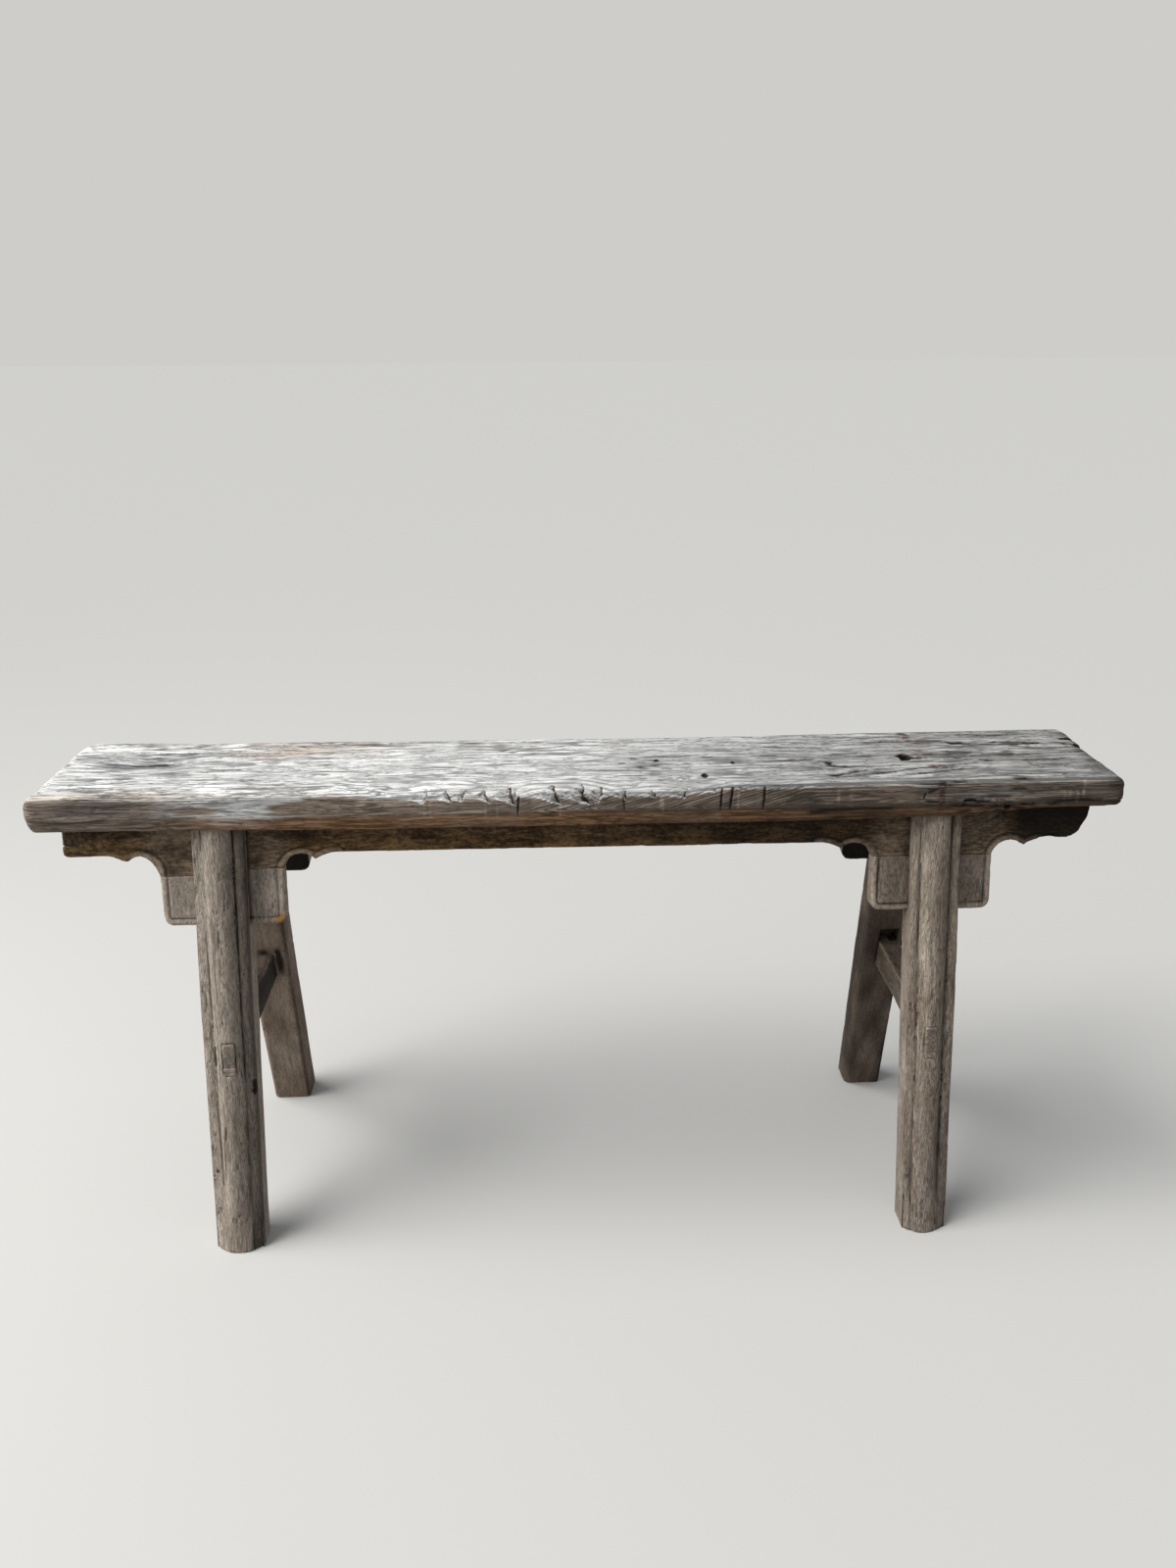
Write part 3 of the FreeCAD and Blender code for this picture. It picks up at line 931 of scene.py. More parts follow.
@dataclass(frozen=True)
class Joinery:
    """Sizes that several pieces share, in millimetres, in the leaning frame of one long side.

    In that frame x runs along the seat, y is the depth behind the crest of the leg's face and z rises
    along the leg. Its origin is where the crest meets the seat's underside.
    """

    underside: float
    leg_spread: float
    spandrel_half: float
    apron_end: float
    leg_reach: float = 75.0
    splay: float = math.radians(10.5)
    cheek_depth: float = 20.0
    apron_depth: float = 36.0
    leg_depth: float = 44.0
    apron_drop: float = 33.0
    tip_run: float = 24.0
    tip_drop: float = 7.0
    arch_span: float = 34.0
    seam_drop: float = 49.0
    spandrel_drop: float = 109.0
    spandrel_round: float = 10.0
    tip_rise: float = 1.8
    arch_rise: float = 10.5
    tongue_top: float = 4.0
    tongue_height: float = 17.0
    play: float = 0.3

    @property
    def slope(self) -> float:
        """Rise along the leg for each millimetre of depth on a level surface."""
        return math.tan(self.splay)

    @property
    def leg_length(self) -> float:
        """Length of the crest of a leg from the seat down to the floor."""
        return self.underside / math.cos(self.splay)

    def rise_at(self, level: float) -> float:
        """Where a level above the floor meets the crest plane, along the leg."""
        return (level - self.underside) / math.cos(self.splay)

    def face_at(self, level: float) -> float:
        """How far the crests of the legs' faces stand from the middle at a level above the floor."""
        return self.leg_reach + (self.underside - level) * self.slope

    def height(self, points: np.ndarray) -> np.ndarray:
        """How high places of the leaning frame stand over the floor, along the leg."""
        return points[:, 2] - points[:, 1] * self.slope + self.leg_length

    def place(self, side: Side) -> Matrix:
        """From the leaning frame in millimetres to the bench in metres.

        Args:
            side: A long side of the bench.

        Returns:
            The matrix.
        """
        crest = Matrix.Translation((0.0, -self.leg_reach, self.underside))
        lean = crest @ Matrix.Rotation(-self.splay, 4, "X")
        return Matrix.Scale(MM, 4) @ Matrix.Rotation(side.turn, 4, "Z") @ lean

    def shaped_edge(self, sign: float) -> list[Point]:
        """The shaped lower edge of an apron and the block below it, from the inner tip to the outer tip.

        Args:
            sign: Sign of x in the leaning frame.

        Returns:
            Points of the edge in x and z.
        """
        edge = self.apron_curve(-1.0) + self.block_corner()
        mirror = [(-x, z) for x, z in reversed(edge)]
        return [(sign * (self.leg_spread + x), z) for x, z in edge + mirror]

    def block_corner(self) -> list[Point]:
        """The rounded lower left corner of a block, about the middle of a leg.

        Returns:
            Points of the corner.
        """
        start = (-self.spandrel_half, self.spandrel_round - self.spandrel_drop)
        end = (self.spandrel_round - self.spandrel_half, -self.spandrel_drop)
        return [start] + bulge(start, end, -CORNER_RISE * self.spandrel_round, 6)

    def apron_curve(self, sign: float) -> list[Point]:
        """One arch of an apron and the tip beside it, about the middle of a leg.

        Args:
            sign: Side of the leg.

        Returns:
            Points from the straight edge in to the seam with the block.
        """
        foot = (sign * self.spandrel_half, -self.seam_drop)
        tip = (foot[0] + sign * self.arch_span, -self.apron_drop - self.tip_drop)
        flat = (tip[0] + sign * self.tip_run, -self.apron_drop)
        lip = bulge(flat, tip, -sign * self.tip_rise, 8)
        return [flat] + lip + bulge(tip, foot, -sign * self.arch_rise, 14)


def joinery_from_frame() -> Joinery:
    """Read the shared sizes that the frame gives.

    Returns:
        The sizes.
    """
    seat_low, _ = node_box("seat_plank")
    low, high = node_box("front_right_spandrel")
    _, apron_high = node_box("front_apron")
    return Joinery(underside=float(seat_low[2]), leg_spread=float(low[0] + high[0]) / 2.0,
                   spandrel_half=float(high[0] - low[0]) / 2.0, apron_end=float(apron_high[0]))


# Pieces

@dataclass
class Timber:
    """One wooden piece: shaped in millimetres in its own frame, weathered, and set in the bench."""

    node: str
    seed: int
    joinery: Joinery
    finish: WoodFinish
    cracks: tuple[Crack, ...] = ()
    dents: tuple[Dent, ...] = ()
    patches: tuple[Patch, ...] = ()
    knots: tuple[Knot, ...] = ()
    bleach: float = 0.3
    # Painted shade over the whole piece, for pieces that sit in shadow
    shade: float = 0.0
    hollow_dirt_and_shade: float = 0.5
    edge_wear: float = 0.4
    grain_order: tuple[int, int, int] = (0, 1, 2)

    def shape(self) -> bpy.types.Object:
        """Model the sound piece."""
        raise NotImplementedError

    def place(self) -> Matrix:
        """Where the piece's own frame lies in the bench."""
        return Matrix.Scale(MM, 4)

    def work(self, surface: Surface) -> None:
        """Give the piece the forms that its mesh needs points for."""

    def erode(self, surface: Surface) -> None:
        """Raise the grain and dull the surface, as rain and hands do.

        Args:
            surface: The piece's surface.
        """
        grain = surface.grain
        fine = 0.28 * cloud(grain, (70.0, 4.0, 4.0), self.seed)
        surface.push(fine + 0.55 * cloud(grain, (150.0, 18.0, 18.0), self.seed + 1))
        nibble = np.clip(cloud(grain, (16.0, 9.0, 9.0), self.seed + 2) - 0.35, 0.0, 1.0)
        surface.push(-1.1 * nibble * ease(surface.relief(12), 0.05, 0.4))

    def age(self, surface: Surface) -> None:
        """Fill the masks from the relief of the surface, with dirt and painted shade in the hollows and
        painted shade over pieces that sit in shadow.

        Args:
            surface: The piece's surface.
        """
        fine, broad = surface.relief(4), surface.relief(24)
        masks = surface.masks
        # Dirt and painted shade in the hollows and grooves
        masks[Mask.GRIME] += self.hollow_dirt_and_shade * (ease(-fine, 0.06, 0.45) + 0.5 * ease(-broad, 0.3, 1.3))
        # Painted shade over the whole piece, a little uneven
        uneven = 0.8 + 0.4 * cloud(surface.grain, (60.0, 20.0, 20.0), self.seed + 15)
        masks[Mask.GRIME] += self.shade * uneven
        masks[Mask.WEAR] += self.edge_wear * ease(broad, 0.35, 1.4)
        masks[Mask.BLEACH] += self.bleach

    def build(self, materials: dict[str, bpy.types.Material]) -> bpy.types.Object:
        """Model the piece, weather it, dress it and tie it to the frame.

        Args:
            materials: The finished materials by slot.

        Returns:
            The finished piece.
        """
        obj = self.shape()
        surface = Surface(obj, self.seed)
        surface.grain = surface.points[:, list(self.grain_order)].copy()
        self.work(surface)
        for knot in self.knots:
            surface.knot(knot)
        self.erode(surface)
        for index, crack in enumerate(self.cracks):
            surface.split(crack, self.seed + 40 + index)
        for dent in self.dents:
            surface.dent(dent)
        self.age(surface)
        for patch in self.patches:
            surface.paint(patch)
        surface.write(self.place())
        obj.name = f"worn_{self.node}"
        obj.data.name = obj.name
        obj.data.materials.append(materials[self.finish.slot])
        pick(obj)
        bpy.ops.object.shade_smooth()
        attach(obj, "root")
        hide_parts(self.node)
        obj.data.calc_loop_triangles()
        LOG.info("%s: %d triangles", obj.name, len(obj.data.loop_triangles))
        return obj


@dataclass(frozen=True)
class Chip:
    """A splinter lost from the seat's front top edge, deepest at its end."""

    start: float
    end: float
    depth: float


@dataclass
class SeatPlank(Timber):
    """The thick plank: bullnosed, rolled over and chipped at the front, split at the ends."""

    chips: tuple[Chip, ...] = ()
    left_round: Point = (21.0, 17.5)
    right_round: Point = (11.0, 10.0)
    side_round: Point = (5.0, 4.5)
    lower_round: Point = (2.5, 2.5)
    corner_round: tuple[float, float, float, float] = (13.0, 30.0, 9.0, 14.0)
    swell: float = 4.0
    sag: float = 2.5
    left_flare: float = 14.0
    right_flare: float = 7.0
    back_reach: float = 77.0
    lip_height: float = 14.0
    lip_depth: float = 0.8
    roll: float = 5.5
    roll_width: float = 34.0
    seated: tuple[float, float, float, float] = (-260.0, -165.0, 90.0, 170.0)
    fine_zone: Point = (-215.0, 240.0)
    ring_centre: Point = (-18.0, -96.0)
    ring_middle: float = -12.0
    ring_pitch: float = 6.5
    slant_pitch: float = 4.2

    def __post_init__(self) -> None:
        """Take the plank's box from the frame."""
        self.low, self.high = node_box(self.node)
        self.low[0] -= self.swell
        self.high[0] += self.swell

    @property
    def lip(self) -> float:
        """Level below which the front face slopes under."""
        return self.low[2] + self.lip_height

    def shape(self) -> bpy.types.Object:
        """A block cut into a fine grid, finest where the plank is chipped and split.

        Returns:
            The sound piece.
        """
        back = (self.high[0], self.back_reach, self.high[2])
        obj = add_block(self.node, tuple(self.low), back)
        for axis, cuts in ((0, 100), (0, 3), (1, 48), (2, 13)):
            slice_along(obj, axis, cuts)
        centres = read(obj.data.polygons, "center", 3)
        arris = (centres[:, 1] < self.low[1] + 14.0) & (centres[:, 2] > self.high[2] - 27.0)
        chosen = arris & (centres[:, 0] > self.fine_zone[0]) & (centres[:, 0] < self.fine_zone[1])
        ringed = (np.abs(centres[:, 0] - self.ring_middle) < 70.0) & (centres[:, 1] < self.low[1] + 52.0)
        chosen |= ringed
        for crack in self.cracks:
            _, offset = from_line(centres, np.array(crack.start), np.array(crack.end))
            chosen |= np.linalg.norm(offset, axis=1) < crack.width + 2.5
        for dent in self.dents:
            away = (centres - np.array(dent.centre)) / (np.array(dent.reach) + 2.0)
            chosen |= np.linalg.norm(away, axis=1) < 1.3
        subdivide(obj, "polygons", chosen, 2)
        return obj

    def work(self, surface: Surface) -> None:
        """Round the edges, flare the back, roll the front over and knock the chips off.

        Args:
            surface: The piece's surface.
        """
        self.round_corners(surface)
        self.round_edges(surface)
        self.flare_back(surface)
        self.roll_front(surface)
        self.knock_chips(surface)
        self.undercut(surface)
        surface.grain = surface.points.copy()
        swirl = 9.0 * bell(surface.points[:, 0], -8.0, 34.0) * bell(surface.points[:, 1], -78.0, 26.0)
        knot = 16.0 * bell(surface.points[:, 0], -452.0, 46.0) * bell(surface.points[:, 1], 18.0, 30.0)
        front = ease(surface.points[:, 1], -77.0, -80.0)
        front *= ease(surface.points[:, 2], self.lip - 3.0, self.lip + 3.0)
        climb = 0.3 * front * np.clip(surface.points[:, 0] + 60.0, 0.0, 290.0)
        surface.grain[:, 1] = 0.5 * (surface.grain[:, 1] + swirl + knot)
        surface.grain[:, 2] = 1.4 * (surface.grain[:, 2] - climb)
        self.raise_figure(surface)

    def raise_figure(self, surface: Surface) -> None:
        """Stand the slanting grain of the front face and the rings above it out of the surface.

        Args:
            surface: The piece's surface.
        """
        x, y, z = surface.points.T
        sway = cloud(surface.points, (60.0, 20.0, 20.0), self.seed + 21, 3)
        slant = np.sin(2.0 * math.pi * (surface.grain[:, 2] + 2.2 * sway) / self.slant_pitch)
        face = ease(y, -70.0, -79.0) * zone(x, -90.0, -30.0, 200.0, 300.0)
        face *= ease(z, self.lip, self.lip + 4.0)
        rings = np.hypot((x - self.ring_centre[0]) * 0.55, y - self.ring_centre[1])
        ring = np.sin(2.0 * math.pi * (rings + 2.5 * sway) / self.ring_pitch)
        top = ease(y, -28.0, -48.0) * ease(z, self.high[2] - 12.0, self.high[2] - 8.0)
        top *= ease(np.abs(x - self.ring_middle), 72.0, 34.0)
        surface.push(0.16 * face * slant + 0.55 * top * ring)
        surface.masks[Mask.GRIME] += 0.22 * face * ease(-slant, 0.2, 0.9)
        surface.masks[Mask.GRIME] += 0.42 * top * ease(-ring, 0.3, 0.9)
        surface.masks[Mask.SMOOTH] += 0.4 * top

    def round_corners(self, surface: Surface) -> None:
        """Round the plank's four corners in plan.

        Args:
            surface: The piece's surface.
        """
        low, high = self.low[:2], np.array((self.high[0], self.back_reach))
        flat = surface.points[:, :2]
        rounding = self.roundings(surface)[:, None]
        inside = np.clip(flat, low + rounding, high - rounding)
        away = flat - inside
        square = np.maximum(np.abs(away).max(axis=1), 1e-9)[:, None]
        length = np.maximum(np.linalg.norm(away, axis=1), 1e-9)[:, None]
        surface.points[:, :2] = inside + away * square / length

    def roundings(self, surface: Surface) -> np.ndarray:
        """Radius in plan of the corner nearest to each point.

        Args:
            surface: The piece's surface.

        Returns:
            Millimetres, one per point.
        """
        x, y = surface.points[:, 0], surface.points[:, 1]
        front = y < (self.low[1] + self.back_reach) / 2.0
        left = np.where(front, self.corner_round[0], self.corner_round[1])
        return np.where(x < 0.0, left, np.where(front, self.corner_round[2], self.corner_round[3]))

    def round_edges(self, surface: Surface) -> None:
        """Round the edges: a full nose at the left end, less at the right, least along the sides.

        Args:
            surface: The piece's surface.
        """
        centre = np.array(((self.low[0] + self.high[0]) / 2.0, (self.low[1] + self.back_reach) / 2.0))
        rounding = self.roundings(surface)
        half = np.array((self.high[0], self.back_reach)) - centre - rounding[:, None]
        offset = surface.points[:, :2] - centre
        beyond = np.abs(offset) - half
        corner = (beyond > 0.0).all(axis=1)
        nearest = np.where(beyond == beyond.max(axis=1)[:, None], beyond, 0.0)
        reach = np.where(corner[:, None], beyond, nearest)
        length = np.maximum(np.linalg.norm(reach, axis=1), 1e-9)
        outward = reach / length[:, None] * np.sign(offset)
        depth = rounding - np.where(reach.max(axis=1) > 0.0, length, -length)
        at_end = outward[:, 0] ** 2
        at_left = (offset[:, 0] < 0.0)[:, None]
        nose = np.where(at_left, np.array(self.left_round), np.array(self.right_round))
        upper = surface.points[:, 2] > (self.low[2] + self.high[2]) / 2.0
        side = np.where(upper[:, None], np.array(self.side_round), np.array(self.lower_round))
        radius = at_end[:, None] * nose + (1.0 - at_end)[:, None] * side
        rise = np.where(upper, self.high[2] - surface.points[:, 2], surface.points[:, 2] - self.low[2])
        across = np.clip(1.0 - depth / radius[:, 0], 0.0, 1.0)
        along = np.clip(1.0 - rise / radius[:, 1], 0.0, 1.0)
        reached = np.maximum(np.hypot(across, along), 1.0)
        inward = radius[:, 0] * (across - across / reached)
        level = radius[:, 1] * (along - along / reached)
        surface.points[:, :2] -= outward * inward[:, None]
        surface.points[:, 2] += np.where(upper, -level, level)

    def flare_back(self, surface: Surface) -> None:
        """Widen the plank towards its ends along the back.

        Args:
            surface: The piece's surface.
        """
        x, y = surface.points[:, 0], surface.points[:, 1]
        flare = np.where(x < 0.0, self.left_flare, self.right_flare) * (x / self.high[0]) ** 2
        surface.points[:, 1] += flare * (y - self.low[1]) / (self.back_reach - self.low[1])

    def roll_front(self, surface: Surface) -> None:
        """Wear the front top edge down along the middle, where people sit.

        Args:
            surface: The piece's surface.
        """
        x, y, z = surface.points.T
        edge = ease(y, self.low[1] + self.roll_width, self.low[1])
        upper = ease(z, self.high[2] - 24.0, self.high[2] - 4.0)
        surface.points[:, 2] -= self.roll * zone(x, *self.seated) * edge * upper
        surface.points[:, 2] -= 1.2 * upper * zone(x, -150.0, 150.0, 150.0, 420.0)

    def knock_chips(self, surface: Surface) -> None:
        """Break flakes off the front top edge along slanting facets, and paint shadow under each flake's
        ledge.

        Args:
            surface: The piece's surface.
        """
        x = surface.points[:, 0]
        lean = 0.55 * (surface.points[:, 2] - self.high[2])
        lean += 2.0 * cloud(surface.points, (8.0, 8.0, 8.0), self.seed + 13)
        line = surface.points * np.array((1.0, 0.0, 0.25))
        depth = 1.0 + 1.6 * cloud(line, (11.0, 1.0, 5.0), self.seed + 11, 3)
        depth *= ease(x, -300.0, -200.0)
        ledge_shadow = np.zeros(len(x))
        for number, chip in enumerate(self.chips):
            share = (x + (lean if number % 3 else -lean) - chip.start) / (chip.end - chip.start)
            inside = zone(share, -0.05, 0.2, 0.95, 1.02)
            bite = 0.2 + 0.8 * np.clip(share, 0.0, 1.0) ** 1.5
            depth = np.maximum(depth, 1.25 * chip.depth * inside * bite)
            ledge_shadow = np.maximum(ledge_shadow, bell(share, 0.99, 0.07) * ease(share, 1.06, 0.98))
        facing = np.array((0.0, -0.6, 0.8))
        edge = self.high[2] - self.roll * zone(x, *self.seated)
        corner = np.stack((x, np.full_like(x, self.low[1]), edge), axis=1)
        rough = 0.8 * cloud(surface.points, (7.0, 2.6, 2.6), self.seed + 12)
        excess = ((surface.points - corner) @ facing) + 0.62 * np.clip(depth, 0.0, 20.0) + rough
        upper = surface.points[:, 2] > self.high[2] - 30.0
        front = surface.points[:, 1] < self.low[1] + 30.0
        cut = np.where(upper & front, np.clip(excess, 0.0, 14.0), 0.0)
        surface.points -= facing * cut[:, None]
        # Painted shadow under the ledge at each flake's end
        surface.masks[Mask.GRIME] += 1.1 * ledge_shadow * ease(cut, 0.6, 2.4)
        surface.masks[Mask.BLEACH] += 0.35 * ease(cut, 0.3, 1.6) * (1.0 - ledge_shadow)
        surface.masks[Mask.WARM] += 0.3 * ease(cut, 2.5, 6.0)

    def undercut(self, surface: Surface) -> None:
        """Slope the lower part of the front face under, and lift its edge towards the right end.

        Args:
            surface: The piece's surface.
        """
        x, y, z = surface.points.T
        front = ease(y, self.low[1] + 24.0, self.low[1])
        below = np.clip((self.lip - z) / self.lip_height, 0.0, 1.0)
        surface.points[:, 1] += front * (self.lip_depth * below ** 1.3 + 0.8 * ease(below, 0.0, 0.12))
        deep = ease(y, self.low[1] + 20.0, self.low[1] + 6.0) * ease(z, self.low[2] + 16.0, self.low[2])
        surface.points[:, 2] -= self.sag * deep * zone(x, -520.0, -250.0, 250.0, 420.0)
        lift = 9.0 * ease(x, 380.0, 505.0) * front * ease(z, self.low[2] + 18.0, self.low[2])
        surface.points[:, 2] += lift

    def erode(self, surface: Surface) -> None:
        """Raise the grain: coarse on the faces, in long waves on the top.

        Args:
            surface: The piece's surface.
        """
        grain, points = surface.grain, surface.points
        top = ease(surface.normals[:, 2], 0.3, 0.8)
        right = ease(points[:, 0], 120.0, 420.0)
        coarse = cloud(grain, (130.0, 8.0, 9.0), self.seed, 3)
        calm = 1.0 - 0.75 * (1.0 - top) * zone(points[:, 0], -90.0, -40.0, 260.0, 330.0)
        waves = 0.8 * cloud(grain, (320.0, 60.0, 60.0), self.seed + 1)
        surface.push((0.25 + 0.4 * right) * calm * coarse + waves)
        splits = np.abs(cloud(grain, (170.0, 9.0, 8.0), self.seed + 3))
        narrow = ease(splits, 0.16, 0.0) * ease(cloud(points, (90.0, 40.0, 40.0), self.seed + 4), -0.1, 0.35)
        surface.push(-(0.7 + 1.3 * right) * narrow * (0.5 + 0.5 * top))
        surface.masks[Mask.GRIME] += (0.4 + 0.4 * right) * narrow

    def age(self, surface: Surface) -> None:
        """Bleach what faces up, keep the sheltered edge warm, darken the hollows with dirt and painted
        shade, and darken the right part with darker wood and painted shade.

        Args:
            surface: The piece's surface.
        """
        x, z = surface.points[:, 0], surface.points[:, 2]
        normals, masks = surface.normals, surface.masks
        fine, broad = surface.relief(3), surface.relief(20)
        ragged = 0.22 * cloud(surface.points, (40.0, 12.0, 12.0), self.seed + 6, 3)
        up = ease(normals[:, 2] + ragged, 0.25, 0.75)
        # Towards the right the top bleaches less and darkens: partly darker, checked wood, partly painted
        # shade where the light falls off
        right = ease(x, 150.0, 480.0)
        far = ease(x + 60.0 * ragged, -240.0, 430.0)
        masks[Mask.BLEACH] += up * (1.0 - 0.3 * right) + 0.05 * (1.0 - up)
        masks[Mask.GRIME] += far * (0.62 * up + 0.56 * (1.0 - up)) * (0.8 + 1.0 * ragged)
        masks[Mask.GRIME] += (1.0 - up) * 0.2 * ease(x, -380.0, -410.0)
        masks[Mask.SMOOTH] += 0.1 * up * zone(x, -270.0, -170.0, 150.0, 260.0)
        # The last stretch of the right end is darker still: partly dirt, partly painted shade
        masks[Mask.GRIME] += 0.25 * ease(x + 30.0 * ragged, self.high[0] - 26.0, self.high[0] - 4.0)
        shelter = ease(z + 3.0 * ragged, self.lip + 1.0, self.lip - 4.0)
        masks[Mask.WARM] += 0.9 * shelter * ease(x, -470.0, -330.0)
        masks[Mask.BLEACH] -= 0.5 * shelter
        masks[Mask.GRIME] += 0.12 * shelter
        # Dirt and painted shade in the hollows, more towards the right
        masks[Mask.GRIME] += (0.55 + 0.3 * right) * ease(-fine, 0.06, 0.5) + 0.35 * ease(-broad, 0.4, 1.6)
        masks[Mask.WEAR] += 0.35 * ease(broad, 0.5, 2.0) * up


@dataclass
class Leg(Timber):
    """A splayed leg: a half round between two beads, forked for the apron, mortised for the stretcher."""

    side: Side = Side.FRONT
    end: End = End.LEFT
    top_width: float = 52.0
    foot_width: float = 46.5
    kick: float = 3.0
    fall: float = 8.0
    bead: float = 8.0
    bead_rise: float = 2.5
    groove: float = 3.0
    groove_depth: float = 2.8
    back_round: float = 8.0
    foot_round: float = 1.8
    mortise_gap: float = 0.35
    grid: float = 1.3
    old_mortise: Optional[tuple[Place, Place]] = None
    left_fade: Point = (0.3, 0.8)
    right_fade: Point = (0.0, 0.8)
    slim: float = 0.0
    pitted: float = 0.8
    foot_wear: float = 1.0
    swell: float = 0.0
    painted_bead_shade: float = 0.0
    grain_order: tuple[int, int, int] = (2, 0, 1)

    @property
    def hand(self) -> float:
        """Sign of the leg's x in its leaning frame."""
        return self.end.sign * self.side.sign

    def place(self) -> Matrix:
        """The leaning frame of the leg's side."""
        return self.joinery.place(self.side)

    def section(self, width: float) -> list[Point]:
        """The moulded face and the flat back, in x and depth, about the leg's middle.

        Args:
            width: Width of the leg there.

        Returns:
            Corners in order, from the back round by the left to the right.
        """
        half, depth = width / 2.0, self.joinery.leg_depth
        rim, foot = half - self.bead, half - self.bead - self.groove
        deep = self.fall + self.groove_depth
        left = [(self.back_round - half, depth)]
        left += bulge(left[0], (-half, depth - self.back_round), -0.2 * self.back_round, 5)
        left += [(-half, self.fall)] + bulge((-half, self.fall), (-rim, self.fall), -self.bead_rise, 8)
        left += [((-rim - foot) / 2.0, deep)]
        middle = [(-foot, self.fall)] + bulge((-foot, self.fall), (foot, self.fall), -self.fall, 26)
        return left + middle + [(-x, y) for x, y in reversed(left)]

    def shape(self) -> bpy.types.Object:
        """Extrude the section, taper it, cut both ends level, then the fork and the mortises.

        Returns:
            The sound piece.
        """
        joinery = self.joinery
        top, foot = self.section(self.top_width), self.section(self.foot_width)
        obj = add_board(self.node, top, 0.0, -joinery.leg_length)
        points = []
        middle = self.hand * joinery.leg_spread
        for x, depth in top:
            points.append((middle + x, depth, depth * joinery.slope))
        for x, depth in foot:
            rise = depth * joinery.slope - joinery.leg_length
            points.append((middle + self.hand * self.kick + x, depth, rise))
        set_points(obj, np.array(points))
        face_outwards(obj)
        reach = self.top_width
        gap = joinery.play
        carve(obj, (middle - reach, joinery.cheek_depth - gap, -joinery.spandrel_drop - gap),
              (middle + reach, joinery.apron_depth + gap, reach))
        self.cut_mortises(obj)
        even_out(obj, self.grid)
        return obj

    def cut_mortises(self, obj: bpy.types.Object) -> None:
        """Cut the through mortise of the stretcher, and the older empty one above it.

        Args:
            obj: The piece.
        """
        joinery = self.joinery
        low, high = Stretcher.tenon_box(self.end)
        xs = sorted((self.side.sign * low[0], self.side.sign * high[0]))
        gap = self.mortise_gap
        floor, roof = joinery.rise_at(low[2]), joinery.rise_at(high[2])
        carve(obj, (xs[0] - gap, -OVERSHOOT, floor - gap),
              (xs[1] + gap, joinery.leg_depth + OVERSHOOT, roof + gap), joinery.slope)
        if self.old_mortise:
            carve(obj, *self.old_mortise, joinery.slope)

    def work(self, surface: Surface) -> None:
        """Wear the mouldings down and round the foot over.

        Args:
            surface: The piece's surface.
        """
        self.wear_mouldings(surface)
        joinery = self.joinery
        near = np.clip(self.foot_round - joinery.height(surface.points), 0.0, self.foot_round)
        inset = self.foot_round - np.sqrt(np.maximum(self.foot_round ** 2 - near ** 2, 0.0))
        centre = np.array((self.hand * (joinery.leg_spread + self.kick), joinery.leg_depth / 2.0))
        away = surface.points[:, :2] - centre
        length = np.maximum(np.linalg.norm(away, axis=1), 1e-6)
        share = np.clip(length / 22.0, 0.0, 1.0) ** 3
        surface.points[:, :2] -= away / length[:, None] * (0.8 * inset * share)[:, None]

    def erode(self, surface: Surface) -> None:
        """Raise the grain along the leg and pit its face.

        Args:
            surface: The piece's surface.
        """
        grain = surface.grain
        surface.push(0.2 * cloud(grain, (70.0, 4.5, 4.5), self.seed))
        surface.push(0.45 * cloud(grain, (160.0, 20.0, 20.0), self.seed + 1))
        splits = np.abs(cloud(grain, (120.0, 6.0, 6.0), self.seed + 3))
        narrow = ease(splits, 0.1, 0.0) * ease(cloud(grain, (70.0, 16.0, 16.0), self.seed + 4), 0.05, 0.4)
        show = ease(surface.normals[:, 1], 0.3, -0.3)
        narrow *= show
        more = 0.14 * self.pitted
        pits = ease(cloud(grain, (9.0, 3.0, 3.0), self.seed + 6), 0.55 - more, 0.9 - more)
        pits *= show * ease(cloud(grain, (60.0, 16.0, 16.0), self.seed + 7), 0.15 - 0.2 * self.pitted, 0.5)
        surface.push(-0.7 * narrow - 0.75 * pits)
        surface.masks[Mask.GRIME] += 0.3 * narrow + 0.2 * pits
        nibble = np.clip(cloud(grain, (22.0, 9.0, 9.0), self.seed + 2) - 0.2, 0.0, 1.0)
        surface.push(-1.6 * nibble * ease(surface.relief(14), 0.15, 0.6))

    def wear_mouldings(self, surface: Surface) -> None:
        """Take the beads down to the level of the half round, more towards the foot.

        Args:
            surface: The piece's surface.
        """
        x, y, z = surface.points.T
        drop = np.clip(-z / self.joinery.leg_length, 0.0, 1.0)
        half = (self.top_width + (self.foot_width - self.top_width) * drop) / 2.0
        across = (x - self.hand * (self.joinery.leg_spread + self.kick * drop)) / half
        low = drop ** 3
        left = self.left_fade[0] + (self.left_fade[1] - self.left_fade[0]) * low
        right = self.right_fade[0] + (self.right_fade[1] - self.right_fade[0]) * low
        fade = np.where(across < 0.0, left, right)
        uneven = 1.0 + 0.5 * cloud(surface.points, (30.0, 30.0, 90.0), self.seed + 9)
        fade = np.clip(fade * uneven, 0.0, 1.0)
        worn = self.fall + 7.0 * np.clip(np.abs(across) - 0.56, 0.0, 1.0)
        face = ease(np.abs(across), 0.5, 0.6)
        surface.points[:, 1] += face * fade * np.clip(worn - y, 0.0, 9.0)
        groove = 1.0 - (2.0 * self.bead + self.groove) / self.top_width
        show = ease(y, 17.0, 12.0)
        line = bell(np.abs(across), groove, 0.045) * show * (1.0 - fade)
        # Dirt and painted shade in the groove while the bead still stands
        surface.masks[Mask.GRIME] += 0.55 * line
